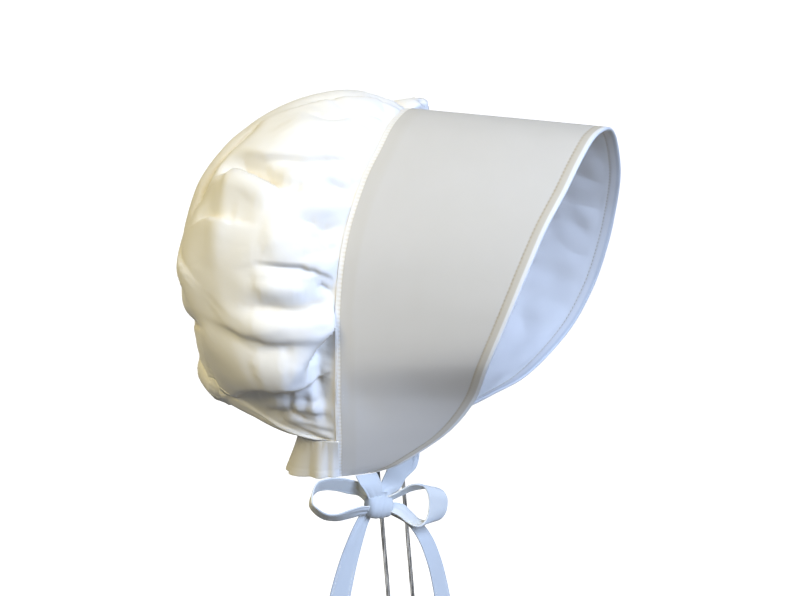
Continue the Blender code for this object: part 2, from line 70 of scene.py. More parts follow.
# %% Camera at the photograph's angle
MM = 0.001
CAMERA_TURN = radians(-66)
CAMERA_RISE = radians(8)
CAMERA_FAR = 1.4
CAMERA_AIM = Vector((-0.009, 0, 0.38))
CAMERA_LENS = 88.16


def direction(turn, rise):
    """A unit vector from the aim: turn 0 is the bonnet's front, and rise is up from level."""
    return Vector((sin(turn) * cos(rise), -cos(turn) * cos(rise), sin(rise)))


back = direction(CAMERA_TURN, CAMERA_RISE)
camera_data = bpy.data.cameras.new("camera")
camera_data.lens = CAMERA_LENS
camera_data.sensor_width = 36
camera = bpy.data.objects.new("camera", camera_data)
bpy.context.scene.collection.objects.link(camera)
camera.location = CAMERA_AIM + back * CAMERA_FAR
camera.rotation_mode = "QUATERNION"
camera.rotation_quaternion = (-back).to_track_quat("-Z", "Y")
bpy.context.scene.camera = camera
print("camera at", [round(c, 3) for c in camera.location])

# %% [markdown]
# ## Small helpers for cloth
#
# Every cloth piece here starts as a grid of points: one direction runs round or
# along the piece and the other across it. A smooth curve through the rows of a
# short table gives the grid its main shape. The grid's normals say which way is
# out, and a fold is a push along them. All tables are in millimetres, measured
# from the bonnet's own middle plane, which hangs 9 mm to the wearer's right of
# the stand's post.

# %% Curves, grids and normals
BONNET_X = -9


def spline(knots, values, at):
    """A smooth curve through rows of values, read at the given places."""
    knots = np.asarray(knots, float)
    values = np.asarray(values, float)
    at = np.clip(np.asarray(at, float), knots[0], knots[-1])
    slopes = np.gradient(values, knots, axis=0)
    span = np.clip(np.searchsorted(knots, at, side="right") - 1, 0, len(knots) - 2)
    step = knots[span + 1] - knots[span]
    s = (at - knots[span]) / step
    if values.ndim == 2:
        s = s[:, None]
        step = step[:, None]
    start = (2 * s**3 - 3 * s**2 + 1) * values[span]
    leave = (s**3 - 2 * s**2 + s) * step * slopes[span]
    end = (-2 * s**3 + 3 * s**2) * values[span + 1]
    arrive = (s**3 - s**2) * step * slopes[span + 1]
    return start + leave + end + arrive


def far_along(line):
    """How far each point of a line is from its start, along the line."""
    lengths = np.linalg.norm(np.diff(line, axis=0), axis=1)
    return np.concatenate([[0], np.cumsum(lengths)])


def resample(line, count, closed=False):
    """The same line with evenly spaced points."""
    if closed:
        line = np.vstack([line, line[:1]])
    far = far_along(line)
    at = np.linspace(0, far[-1], count + 1 if closed else count)
    out = np.stack([np.interp(at, far, line[:, k]) for k in range(3)], axis=1)
    return out[:-1] if closed else out


def unit(v):
    return v / np.maximum(np.linalg.norm(v, axis=-1, keepdims=True), 1e-9)


def grid_normals(grid, wrap=False):
    """Normals of a grid of points, from its two directions."""
    if wrap:
        along = np.roll(grid, -1, axis=0) - np.roll(grid, 1, axis=0)
    else:
        along = np.gradient(grid, axis=0)
    across = np.gradient(grid, axis=1)
    return unit(np.cross(along, across))


def bump(x):
    """A smooth bump: 1 at 0 and nearly 0 past 2."""
    return np.exp(-x * x)


def ease(x):
    """A smooth rise from 0 to 1."""
    x = np.clip(x, 0, 1)
    return x * x * (3 - 2 * x)


print("halfway up the smooth rise:", ease(0.5))

# %% [markdown]
# Cloth is never quite even, so we also need a soft random field. It is a sum of
# sine waves in space with seeded directions, which gives the same folds each run.

# %% A soft, seeded unevenness in space
def unevenness(points, size, seed, waves=9):
    """A smooth random value from about -1 to 1 at each point, with bumps of that size."""
    random = np.random.default_rng(seed)
    value = np.zeros(points.shape[:-1])
    for _ in range(waves):
        way = unit(random.normal(size=3))
        pitch = size * random.uniform(1.4, 3.0)
        value += np.sin(2 * pi * (points @ way) / pitch + random.uniform(0, 2 * pi))
    return value / np.sqrt(waves)


print("unevenness at a point:", unevenness(np.zeros((1, 3)), 20, 1).round(3))

# %% [markdown]
# A grid becomes a sheet of cloth in two steps: a mesh of four-sided faces with a UV
# map in metres of cloth, so that the weave follows every fold, then a Solidify
# modifier for the wall, applied at once.

# %% From a grid to a sheet of cloth
def apply_modifier(obj, kind, **settings):
    """Add a modifier with its settings, and apply it at once, as by hand."""
    bpy.ops.object.select_all(action="DESELECT")
    obj.select_set(True)
    bpy.context.view_layer.objects.active = obj
    modifier = obj.modifiers.new(kind.title(), kind)
    for name, value in settings.items():
        setattr(modifier, name, value)
    bpy.ops.object.modifier_apply(modifier=modifier.name)


def mesh_object(name, verts, faces, corners=None):
    """A smooth object from points in millimetres, with a UV for each face corner."""
    mesh = bpy.data.meshes.new(name)
    mesh.from_pydata(((np.asarray(verts) + (BONNET_X, 0, 0)) * MM).tolist(), [], faces)
    if corners is not None:
        layer = mesh.uv_layers.new(name="cloth")
        layer.data.foreach_set("uv", (np.array(corners, np.float32) * MM).ravel())
    mesh.shade_smooth()
    obj = bpy.data.objects.new(name, mesh)
    bpy.context.scene.collection.objects.link(obj)
    return obj


def tint(obj, colours):
    """Give each point of an object its own tint, which its cotton is multiplied by."""
    layer = obj.data.attributes.new("tint", "FLOAT_COLOR", "POINT")
    full = np.concatenate([colours, np.ones((len(colours), 1))], axis=1)
    layer.data.foreach_set("color", full.astype(np.float32).ravel())


def quads(count, deep, along, across):
    """Four-sided faces of a grid, with a UV for each corner. The grid closes in a
    direction that has one more distance than points."""
    faces = []
    corners = []
    for i in range(len(along) - 1):
        k = (i + 1) % count
        for j in range(across.shape[1] - 1):
            m = (j + 1) % deep
            faces.append((i * deep + j, k * deep + j, k * deep + m, i * deep + m))
            corners += [(along[i], across[i, j]), (along[i + 1], across[k, j])]
            corners += [(along[i + 1], across[k, j + 1]), (along[i], across[i, j + 1])]
    return faces, corners


SHARP_EDGE = radians(80)


def closed_bar(name, rings):
    """An object from closed sections in millimetres, with its two ends filled."""
    count, around = rings.shape[:2]
    along = far_along(rings[:, 0])
    loop = np.concatenate([rings, rings[:, :1]], axis=1)
    across = np.stack([far_along(row) for row in loop])
    faces, corners = quads(count, around, along, across)
    faces.append(tuple(range(around)))
    corners += [(across[0, j], 0.0) for j in range(around)]
    last = (count - 1) * around
    faces.append(tuple(last + j for j in reversed(range(around))))
    corners += [(across[-1, j], 0.0) for j in reversed(range(around))]
    obj = mesh_object(name, rings.reshape(-1, 3), faces, corners)
    obj.data.set_sharp_from_angle(angle=SHARP_EDGE)
    print(name, len(obj.data.polygons), "faces")
    return obj


def round_cloth(name, grid, thick, shade):
    """A bag from a grid that goes all round and ends at one point, with a wall."""
    count, deep = grid.shape[:2]
    across = np.stack([far_along(row) for row in grid])
    along = far_along(np.vstack([grid[:, deep // 3], grid[:1, deep // 3]]))
    obj = mesh_object(name, grid.reshape(-1, 3), *quads(count, deep, along, across))
    tint(obj, shade.reshape(-1, 3))
    work = bmesh.new()
    work.from_mesh(obj.data)
    work.verts.ensure_lookup_table()
    tips = [work.verts[i * deep + deep - 1] for i in range(count)]
    bmesh.ops.pointmerge(work, verts=tips, merge_co=tips[0].co)
    work.to_mesh(obj.data)
    work.free()
    apply_modifier(obj, "SOLIDIFY", thickness=thick * MM, offset=-1.0)
    print(name, len(obj.data.polygons), "faces")
    return obj


print("ready to make sheets")

# %% [markdown]
# ## The brim's seam and rim
#
# One table drives the brim, the band and the edge of the crown. Each row is a
# section of the brim, from the top of the head to the lower corner: where its seam
# lies, and where its free rim lies. The wearer's left rim hangs a little higher.

# %% The table of the brim's sections
BrimRow = namedtuple("BrimRow", "place seam_x seam_y seam_z rim_x rim_y rim_z left_up")
BRIM_ROWS = [
    BrimRow("top", 0, -14, 515, 0, -156, 505, 0),
    BrimRow("crest", 24, -12, 506, 22, -154, 500, 0),
    BrimRow("shoulder", 45, -11, 489, 42, -151, 485, 0),
    BrimRow("temple", 62, -8, 470, 58, -147, 467, 0),
    BrimRow("above ear", 76, -4, 443, 74, -139, 443, 0),
    BrimRow("ear", 85, -2, 417, 84, -130, 415, 0),
    BrimRow("widest", 88, 0, 384, 88, -118, 383, 0),
    BrimRow("cheek", 86, 1, 348, 81, -102, 351, 0),
    BrimRow("jaw", 78, 5, 319, 53, -81, 321, 1),
    BrimRow("under jaw", 66, 10, 288, 41, -56, 294, 12),
    BrimRow("near corner", 56, 15, 267, 39, -22, 270, 16),
    BrimRow("corner", 52, 17, 259, 37, -2, 261, 4),
]
BRIM_THICK = 2.2
BAND_WIDE = 6.5
SEAM_GAP = 0.7


def brim_lines(places):
    """Seam and rim points for places from -1, the right corner, to 1, the left."""
    right = []
    left = []
    for row in BRIM_ROWS:
        right.append((-row.seam_x, row.seam_y, row.seam_z, -row.rim_x, row.rim_y, row.rim_z))
        left.append((row.seam_x, row.seam_y, row.seam_z, row.rim_x, row.rim_y, row.rim_z + row.left_up))
    both = np.array(right[:0:-1] + left, float)
    values = spline(np.linspace(-1, 1, len(both)), both, places)
    return values[:, :3], values[:, 3:]


def brim_frame(places):
    """Seam points with the brim's own directions there: forward and outward."""
    seam, rim = brim_lines(places)
    forward = unit(rim - seam)
    along = np.gradient(seam, axis=0)
    outward = unit(np.cross(along, forward))
    return seam, forward, outward


def behind_band(places):
    """Where the cloth meets the back of the band."""
    seam, forward, outward = brim_frame(places)
    return seam - forward * (BAND_WIDE + SEAM_GAP)


seam, rim = brim_lines(np.linspace(-1, 1, 400))
print("seam", round(far_along(seam)[-1]), "mm, rim", round(far_along(rim)[-1]), "mm")

# %% [markdown]
# ## Cotton
#
# All the cloth is one white cotton, but its pieces don't look alike in the
# photograph: the brim is darker and warmer than the crown, and the ties are bluer,
# from the light and shade that fall on them. So each piece has its own base colour,
# fitted under this scene's lights: the brim's darker, warmer base is painted shade,
# and the ties' darker, bluer base is painted shade and painted blue light. A
# function makes the material once for each: a faint unevenness in the colour, a
# plain weave of crossed threads as bump along the piece's own UV map, and soft
# crumples as bump in space.

# %% Helpers for shader nodes
WEAVE_PITCH = 0.45
WAVE_SCALE = 0.314


def set_sockets(node, sockets):
    """Set a node's sockets, each named with _ for a space."""
    for name, value in sockets.items():
        node.inputs[name.replace("_", " ")].default_value = value
    return node


def new_material(name, **sockets):
    """A material, its node tree and its shader, with the shader's sockets set."""
    material = bpy.data.materials.new(name)
    material.use_nodes = True
    tree = material.node_tree
    return material, tree, set_sockets(tree.nodes["Principled BSDF"], sockets)


def add_node(tree, kind, vector=None, **sockets):
    """A new shader node, fed by a place if one is given, with its sockets set."""
    node = tree.nodes.new("ShaderNode" + kind)
    if vector is not None:
        tree.links.new(vector, node.inputs["Vector"])
    return set_sockets(node, sockets)


def colours_between(tree, noise, low, dark, high, light):
    """Colours that run from dark to light where the noise runs from low to high."""
    node = add_node(tree, "ValToRGB")
    for end, place, colour in zip(node.color_ramp.elements, (low, high), (dark, light)):
        end.position = place
        end.color = (*colour, 1)
    tree.links.new(noise.outputs["Fac"], node.inputs["Fac"])
    return node


print("threads are", WEAVE_PITCH, "mm apart")

# %% The cotton material
def cotton(name, light, dark, crumple=0.1, weave=0.03, crumple_size=9, tinted=False):
    """White cotton: light and dark are the ends of its faint unevenness."""
    material, tree, shader = new_material(name, Roughness=0.88, Specular_IOR_Level=0.25,
                                          Sheen_Weight=0.12, Sheen_Roughness=0.6)
    place = add_node(tree, "TexCoord").outputs
    uneven = add_node(tree, "TexNoise", place["Object"], Scale=26, Detail=4)
    colour = colours_between(tree, uneven, 0.3, dark, 0.7, light).outputs["Color"]
    if tinted:
        own = add_node(tree, "Attribute")
        own.attribute_name = "tint"
        mixed = add_node(tree, "VectorMath")
        mixed.operation = "MULTIPLY"
        tree.links.new(colour, mixed.inputs[0])
        tree.links.new(own.outputs["Color"], mixed.inputs[1])
        colour = mixed.outputs["Vector"]
    tree.links.new(colour, shader.inputs["Base Color"])
    both = add_node(tree, "Math")
    both.operation = "MULTIPLY"
    for index, way in enumerate("XY"):
        wave = add_node(tree, "TexWave", place["UV"], Scale=WAVE_SCALE / (WEAVE_PITCH * MM),
                        Distortion=0.6, Detail_Scale=2.0)
        wave.wave_type = "BANDS"
        wave.bands_direction = way
        tree.links.new(wave.outputs["Fac"], both.inputs[index])
    crumples = add_node(tree, "TexNoise", place["Object"], Scale=1 / (crumple_size * MM),
                        Detail=5, Roughness=0.55)
    soft = add_node(tree, "Bump", Strength=crumple, Distance=0.002)
    tree.links.new(crumples.outputs["Fac"], soft.inputs["Height"])
    fine = add_node(tree, "Bump", Strength=weave, Distance=0.0002)
    tree.links.new(both.outputs["Value"], fine.inputs["Height"])
    tree.links.new(soft.outputs["Normal"], fine.inputs["Normal"])
    tree.links.new(fine.outputs["Normal"], shader.inputs["Normal"])
    return material


CROWN_COTTON = cotton("crown_cotton", (0.91, 0.905, 0.89), (0.88, 0.875, 0.86), crumple=0.06,
                      tinted=True)
# The brim's darker, warmer base is painted shade; its tint lifts the inside again.
BRIM_COTTON = cotton("brim_cotton", (0.60, 0.59, 0.575), (0.585, 0.575, 0.555), crumple=0.03,
                     crumple_size=14, tinted=True)
BAND_COTTON = cotton("band_cotton", (0.86, 0.855, 0.84), (0.82, 0.81, 0.79), crumple=0.08,
                     crumple_size=5, tinted=True)
FRILL_COTTON = cotton("frill_cotton", (0.90, 0.895, 0.88), (0.86, 0.85, 0.83), crumple=0.08,
                      crumple_size=7)
# The ties' base, and their white thread's, is darker and bluer than the crown's: painted shade and painted
# blue light.
TIE_COTTON = cotton("tie_cotton", (0.76, 0.785, 0.79), (0.72, 0.745, 0.75), crumple=0.08, crumple_size=6)
THREAD = cotton("thread", (0.45, 0.40, 0.30), (0.38, 0.33, 0.24), crumple=0.0, weave=0.0)
WHITE_THREAD = cotton("white_thread", (0.80, 0.82, 0.83), (0.76, 0.78, 0.79), crumple=0.0, weave=0.0)
print("cottons:", [m.name for m in (CROWN_COTTON, BRIM_COTTON, BAND_COTTON, TIE_COTTON)])


def dress(obj, material, slot, *nodes):
    """Give a piece its material, and let it stand for its plain solids. Its slot is not used."""
    obj.data.materials.clear()
    obj.data.materials.append(material)
    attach(obj, "root")
    if nodes:
        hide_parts(*nodes)
    return obj


# %% [markdown]
# ## The crown's full form
#
# Seen without its folds the crown is a full, rounded bag. It is drawn as ribs that
# run from its gathered edge, behind the band and round the neck, to the middle of
# its back. Each rib is a curve with four control points, and a short table says how
# far it swells outwards and backwards at each turn from the top of the head.

# %% The crown's ribs
NECK_ROW = "under jaw"
NECK_BACK_Y = 69
NECK_BACK_Z = 283
CROWN_BACK_Y = 163
CROWN_BACK_Z = 400
CrownRib = namedtuple("CrownRib", "place turn out back reach")
CROWN_RIBS = [
    CrownRib("top", 0, 38, 54, 108),
    CrownRib("top side", 35, 42, 50, 106),
    CrownRib("side", 90, 54, 42, 84),
    CrownRib("low side", 125, 42, 50, 90),
    CrownRib("neck side", 150, -4, 60, 86),
    CrownRib("nape", 180, -16, 66, 78),
]


def neck_place():
    """The place on the brim's seam where the neck line leaves it."""
    names = [row.place for row in BRIM_ROWS]
    return names.index(NECK_ROW) / (len(names) - 1)


def round_back(corner, back_y, back_z, flare, count):
    """Half an ellipse from the right corner round the back to the left one."""
    turn = np.linspace(0, pi, count)
    bulge = np.sin(turn)
    x = (corner[0] - flare * bulge**0.5) * np.cos(turn)
    y = corner[1] + (back_y - corner[1]) * bulge
    z = corner[2] + (back_z - corner[2]) * bulge
    return np.stack([x, y, z], axis=1)


def crown_edge(count):
    """The loop that the crown is gathered to: behind the band, and the neck line."""
    neck = neck_place()
    behind = behind_band(np.linspace(-neck, neck, 321))
    back_line = round_back(behind[0], NECK_BACK_Y, NECK_BACK_Z, 0, 121)[::-1]
    loop = np.vstack([behind, back_line[1:-1]])
    return resample(np.roll(loop, -(len(behind) // 2), axis=0), count, closed=True)


def crown_base(count, rings):
    """The crown's plain full form: a grid of points from its edge to its back, the
    turn and side of each rib, and the share of the way along it of each ring."""
    edge = crown_edge(count)
    middle = np.array([0, CROWN_BACK_Y, CROWN_BACK_Z], float)
    radial = edge - middle
    radial[:, 1] = 0
    radial = unit(radial)
    turn = np.degrees(np.arctan2(np.abs(radial[:, 0]), radial[:, 2]))
    out, behind, reach = spline([rib.turn for rib in CROWN_RIBS], [rib[2:] for rib in CROWN_RIBS], turn).T
    first = edge + radial * out[:, None]
    first[:, 1] += behind
    second = middle + radial * reach[:, None]
    share = np.linspace(0, 1, rings + 1) ** 1.15
    t = share[None, :, None]
    grid = (edge[:, None] * (1 - t) ** 3 + first[:, None] * 3 * t * (1 - t) ** 2
            + second[:, None] * 3 * t**2 * (1 - t) + middle * t**3)
    return grid, turn, np.sign(edge[:, 0] + 1e-9), share


def crown_normals(grid):
    """The crown's normals. Its edge stands square to the band, its back faces back."""
    normal = grid_normals(grid, wrap=True)
    radial = grid[:, 0] - (0, 0, CROWN_BACK_Z)
    radial[:, 1] = 0
    normal[:, 0] = unit(radial)
    normal[:, -1] = (0, 1, 0)
    return normal


CROWN_ROUND = 440
CROWN_DEEP = 96
base, _, _, share = crown_base(CROWN_ROUND, CROWN_DEEP)
print("crown grid", base.shape, "round its edge", round(far_along(base[:, 0])[-1]), "mm")

# %% [markdown]
# ## The crown's folds
#
# The folds are what makes the crown look like cloth. Each one is a line on the full
# form, from the gathered seam towards the back, given as a few pairs of turn and
# share. Along it the cloth sinks by deep, and it steps: the upper side stands proud
# and hangs over the lower side. wide says how far the fold reaches, and sharp how
# quickly the step turns over. A negative deep is a puff. Side -1 is the wearer's
# right, which the photograph shows. The folds of the left and the back are guessed.

# %% The table of the crown's folds
Fold = namedtuple("Fold", "name side wide deep step sharp line")
FOLDS = [
    Fold("top ridge", -1, 10, 0.7, -2.4, 3, [(4, .04), (6, .13), (10, .22), (14, .32), (16, .42)]),
    Fold("crest puff", -1, 15, -1.5, 0, 9, [(2, .05), (4, .20)]),
    Fold("top crease", -1, 4, 1.2, 1.4, 1,
         [(9, .01), (12, .08), (17, .14), (21, .19), (20, .25), (18, .30)]),
    Fold("brow puff", -1, 13, -3.2, 0, 9, [(24, .10), (27, .25), (30, .40)]),
    Fold("temple lip", -1, 10, 0.3, 2.2, 3.0,
         [(36, .06), (37, .11), (40, .19), (41, .28), (40, .37), (37, .47)]),
    Fold("temple valley", -1, 6, 2.2, 0, 5,
         [(40, .08), (42, .14), (44, .22), (43.5, .31), (41, .42), (39, .47)]),
    Fold("between ridge", -1, 6, -2.6, 0, 5, [(42, .06), (46, .16), (47, .26), (44, .38)]),
    Fold("wedge valley", -1, 7, 6.6, 0, 5, [(42.5, .49), (44, .44), (46.5, .38), (50, .31), (53, .24)]),
    Fold("wedge edge", -1, 8, 0.4, 5.4, 1.2,
         [(44, .50), (46, .44), (49.5, .37), (52.5, .31), (55, .25), (57, .17)]),
    Fold("thin crease", -1, 3, 1.2, 0.4, 1, [(55, .12), (54, .17), (53.5, .22)]),
    Fold("back facet", -1, 9, 1.6, 1.0, 4, [(43, .50), (46, .55), (49, .62), (50, .70)]),
    Fold("side facet", -1, 12, -2.2, 0, 8, [(50, .46), (62, .47), (76, .47), (90, .46)]),
    Fold("back step", -1, 9, 0.4, -3.6, 1.8, [(67, .41), (65, .52), (64, .66)]),
    Fold("shadow hollow", -1, 5, 3.6, 0.8, 3, [(49, .015), (48, .06), (46, .12)]),
    Fold("nick", -1, 2.5, 1.6, 0, 1, [(52.5, .01), (52, .05)]),
    Fold("seam crease one", -1, 3, 1.6, 0.8, 1, [(39, .008), (38, .05), (37.5, .09)]),
    Fold("seam crease two", -1, 3, 1.6, 0.8, 1, [(44, .008), (43, .05), (42, .10)]),
    Fold("seam crease three", -1, 3, 1.4, -0.8, 1, [(48.5, .008), (49, .05), (48, .11)]),
    Fold("cheek hollow", -1, 5, 2.6, 1.2, 2, [(67, .02), (66, .07), (65, .12), (64, .20)]),
    Fold("pleat one", -1, 2.5, 1.5, 0.6, 1, [(108, .008), (108, .03)]),
    Fold("pleat two", -1, 2.5, 1.5, 0.6, 1, [(111, .008), (111.5, .03)]),
    Fold("dimple", -1, 7, 2.9, 0.9, 4, [(65, .05), (64, .11), (62, .17)]),
    Fold("dimple hook", -1, 5, 3.9, -0.9, 3, [(75, .01), (75, .05), (71, .075), (66, .05)]),
    Fold("ear puff", -1, 14, -3.4, 0, 9, [(74, .14), (75, .30)]),
    Fold("ear crease", -1, 6, 1.4, 2.2, 1.5, [(87, .01), (84, .07), (82, .15), (82, .25), (83, .33)]),
    Fold("hook ring", -1, 3.5, -1.4, 0, 3, [(88.5, .015), (86.6, .05), (87, .10), (89, .14)]),
    Fold("hook", -1, 4, 1.3, 2, 1.2, [(92, .01), (89.5, .04), (90, .08)]),
    Fold("side puff", -1, 11, -4.4, 0, 8, [(92, .12), (92, .32)]),
    Fold("side sag", -1, 9, 4.6, 0.9, 6, [(95, .005), (97, .07), (98, .16), (98, .27), (97, .38)]),
    Fold("low puff", -1, 12, -5.4, 0, 9, [(103, .05), (103.5, .14), (104, .27), (104, .38)]),
    Fold("low lip", -1, 10, 1.1, 1.4, 3.4, [(110, .12), (110, .24), (109, .34), (108, .44), (108, .54)]),
    Fold("jaw puff", -1, 14, -3.4, 0, 9, [(117, .16), (119, .32)]),
    Fold("jaw hang", -1, 8, 0.7, 6.3, 1.4,
         [(105, .004), (109, .03), (112, .06), (117, .095), (122, .112), (127, .105)]),
    Fold("jaw hollow", -1, 12, 8.5, 0, 9, [(116, .02), (127, .045), (140, .06)]),
    Fold("blue stripe", -1, 3.5, -2.9, 0, 3, [(118, .018), (130, .022), (143, .02)]),
    Fold("khaki valley", -1, 3.5, 2.6, 0, 3, [(126, .055), (137, .05), (143, .045)]),
    Fold("second stripe", -1, 4.5, -3.1, 0, 3, [(128, .085), (137, .085), (143, .08)]),
    Fold("seam pinch", -1, 3, 1.8, 1.2, 1.4, [(126, .01), (127, .05)]),
    Fold("underside lip", -1, 11, 1.6, 6, 2.0,
         [(128, .10), (127, .17), (127.5, .22), (129, .30), (136, .38), (149, .44)]),
    Fold("underside crease", -1, 4.5, 2.1, -1.5, 1.5,
         [(144, .11), (143, .15), (140, .19), (134, .195), (129, .22)]),
    Fold("underside nick", -1, 5, 2.9, 1.2, 2, [(140, .20), (143, .25), (147, .31)]),
    Fold("low back bulge", -1, 20, -9.1, 0, 9, [(148, .50), (156, .62)]),
    Fold("back bulge", -1, 24, -6.5, 0, 9, [(84, .66), (96, .72)]),
    Fold("left top pouf", 1, 12, -15.6, 0, 9, [(13, .05), (24, .09)]),
    Fold("left pouf crease", 1, 5, 2.6, -2.2, 1.5, [(5, .01), (8, .10), (12, .18)]),
    Fold("left top sag", 1, 7, 5.2, 3, 2, [(38, .02), (40, .10), (38, .30), (36, .50)]),
    Fold("left temple puff", 1, 12, -5.2, 0, 9, [(54, .12), (52, .40)]),
    Fold("left ear lip", 1, 8, 2.6, 3.9, 1.6, [(69, .01), (68, .10), (66, .26), (64, .44)]),
    Fold("left ear valley", 1, 6, 3.9, 0, 4, [(72, .05), (71, .30)]),
    Fold("left side puff", 1, 13, -5.2, 0, 9, [(82, .12), (80, .40)]),
    Fold("left side sag", 1, 8, 5.2, 2.2, 2.4, [(93, .02), (93, .10), (96, .30), (95, .48)]),
    Fold("left low puff", 1, 12, -6.5, 0, 9, [(106, .12), (108, .45)]),
    Fold("left low lip", 1, 8, 2.6, 4.2, 1.8, [(115, .04), (116, .14), (118, .30), (120, .52)]),
    Fold("left jaw hollow", 1, 12, 7.8, 0, 9, [(126, .03), (136, .05), (144, .05)]),
    Fold("left jaw stripe", 1, 4, -2.9, 0, 3, [(124, .03), (134, .03), (144, .025)]),
    Fold("left underside lip", 1, 10, 2, 5.1, 2, [(130, .09), (133, .14), (138, .28), (150, .46)]),
    Fold("left low back bulge", 1, 20, -9.1, 0, 9, [(146, .50), (158, .62)]),
    Fold("left back crease", 1, 6, 3.4, 2.1, 2, [(52, .46), (60, .58), (70, .70)]),
    Fold("left back valley", 1, 8, 3.9, -1.5, 3, [(98, .50), (104, .62), (112, .74)]),
    Fold("nape fold", 1, 6, 5.2, 1.5, 2.5, [(178, .08), (174, .28), (172, .48)]),
    Fold("right nape fold", -1, 6, 5.2, 1.5, 2.5, [(166, .10), (163, .24), (162, .42)]),
    Fold("middle nape puff", -1, 10, -3.9, 0, 9, [(172, .12), (170, .40)]),
    Fold("back top fold", -1, 9, 3.4, 2.1, 3, [(20, .52), (34, .62), (60, .72)]),
    Fold("back low fold", -1, 9, 3.4, -2.1, 3, [(118, .60), (128, .70), (150, .80)]),
]
print(len(FOLDS), "folds")

# %% [markdown]
# To press a fold into the form we measure how far every point of the grid lies from
# the fold's line, and on which side. The sideways distance gives the step and the
# plain distance gives the valley. Both fade out towards the line's far end, so that
# a fold is born at the seam and dies in the full cloth.

# %% Press the folds into the form
FOLD_HANG = 0.6
FOLD_CRISP = 0.65


def fold_line(fold, rail):
    """Points along a fold's line on the plain form."""
    grid, turns, sides, shares = rail
    marks = np.array(fold.line, float)
    at = np.linspace(0, len(marks) - 1, 12 * (len(marks) - 1) + 1)
    smooth = spline(np.arange(len(marks)), marks, at)
    points = []
    for at_turn, at_share in smooth:
        rib = np.argmin(np.abs(turns - at_turn) + 500 * (sides == -fold.side))
        points.append(grid[rib, np.argmin(np.abs(shares - at_share))])
    points = np.array(points)
    for _ in range(3):
        points[1:-1] = (points[:-2] + 2 * points[1:-1] + points[2:]) / 4
    return resample(points, len(points))


def fold_push(grid, normal, fold, rail):
    """How one fold moves each point, outwards and sideways where its lip hangs over,
    and how much painted shade darkens its crease."""
    line = fold_line(fold, rail)
    way = unit(np.gradient(line, axis=0))
    near = np.full(grid.shape[:2], 1e9)
    sideways = np.zeros(grid.shape[:2])
    along = np.zeros(grid.shape[:2])
    across = np.zeros(grid.shape)
    for index in range(len(line)):
        offset = grid - line[index]
        far = np.einsum("ijk,ijk->ij", offset, offset)
        hit = far < near
        near[hit] = far[hit]
        across[hit] = unit(np.cross(normal[hit], way[index]))
        sideways[hit] = np.einsum("ik,ik->i", across[hit], offset[hit])
        along[hit] = index / (len(line) - 1)
    near = np.sqrt(near)
    born = 0.55 + 0.45 * ease(along / 0.15)
    dies = 1 - 0.85 * ease((along - 0.55) / 0.45)
    valley = bump(near / fold.wide) - 0.25 * bump((near - 2 * fold.wide) / fold.wide)
    upper = fold.side * sideways
    sharp = fold.sharp * FOLD_CRISP
    lean = np.tanh(upper / sharp) * bump(near / (1.5 * fold.wide))
    out = (fold.step * lean - fold.deep * valley) * born * dies
    lip = ease(0.5 + upper / (2 * sharp) * np.sign(fold.step))
    hang = -FOLD_HANG * fold.step * fold.side * lip * bump(near / fold.wide) * born * dies
    depth = np.clip((fold.deep + abs(fold.step) - 1) / 5, 0, 1)
    # Painted shade: the deeper the fold, the darker its crease is painted.
    crease_shade = depth * bump(near / (0.9 + 0.22 * fold.wide)) * born * dies
    return out, across * hang[:, :, None], crease_shade


normal = crown_normals(base)
rail = crown_base(360, 96)
push = np.zeros(base.shape[:2])
slide = np.zeros(base.shape)
painted_crease_shade = np.zeros(base.shape[:2])
for fold in FOLDS:
    out, hang, crease_shade = fold_push(base, normal, fold, rail)
    push += out
    slide += hang
    painted_crease_shade = np.maximum(painted_crease_shade, crease_shade)
print("folds push from", round(push.min(), 1), "to", round(push.max(), 1), "mm")

# %% [markdown]
# ## Gathers
#
# Behind the band the cloth is gathered on a thread: many small pleats close to the
# seam run together into fewer, wider ones further away. Three sets of waves do
# this, each wider, longer and further out than the last. Their phase wanders, so no
# two pleats are alike.

# %% The crown's gathers
Gather = namedtuple("Gather", "pitch peak deep seed")
GATHERS = [
    Gather(6.5, 3.5, 0.75, 11),
    Gather(12, 9, 1.2, 12),
    Gather(25, 20, 1.5, 13),
]
far_round = far_along(np.vstack([base[:, 0], base[:1, 0]]))[:-1, None]
far_in = np.stack([far_along(rib) for rib in base])
girth = far_round[-1, 0] + far_round[1, 0]
for gather in GATHERS:
    wander = unevenness(base, 60, gather.seed) * 0.55 + unevenness(base, 22, gather.seed + 20) * 0.2
    pleats = round(girth / gather.pitch)
    wave = np.abs(np.sin(pi * (far_round / girth * pleats + wander))) ** 0.8
    swell = far_in / gather.peak * np.exp(1 - far_in / gather.peak)
    strength = np.clip(0.45 + 0.75 * unevenness(base, 26, gather.seed + 40), 0, 1.6)
    push += gather.deep * swell * strength * (1.8 * wave - 1.1)
push += 0.30 * unevenness(base, 34, 5) + 0.08 * unevenness(base, 14, 6)
fixed = np.clip(far_in / 3.5, 0, 1) * np.clip((1 - share) / 0.08, 0, 1)
crown_grid = base + (normal * push[:, :, None] + slide) * fixed[:, :, None]
print(len(GATHERS), "sets of gathers over", round(girth), "mm of seam")

# %% Let the pouf on the left hang forwards over the brim
POUF_AT = np.array([20, -2, 512])
POUF_LEAN = 6
TUCK = 2.5
# How strongly painted shade darkens the crown's creases.
CREASE_SHADE_STRENGTH = 0.8
pouf = bump(np.linalg.norm(base - POUF_AT, axis=2) / 20) * ease(far_in / 6)
crown_grid[:, :, 1] -= POUF_LEAN * pouf
tucked = crown_grid[:, :1] + unit(crown_grid[:, :1] - crown_grid[:, 2:3]) * TUCK
crown_grid = np.concatenate([tucked, crown_grid], axis=1)

CROWN_THICK = 1.2
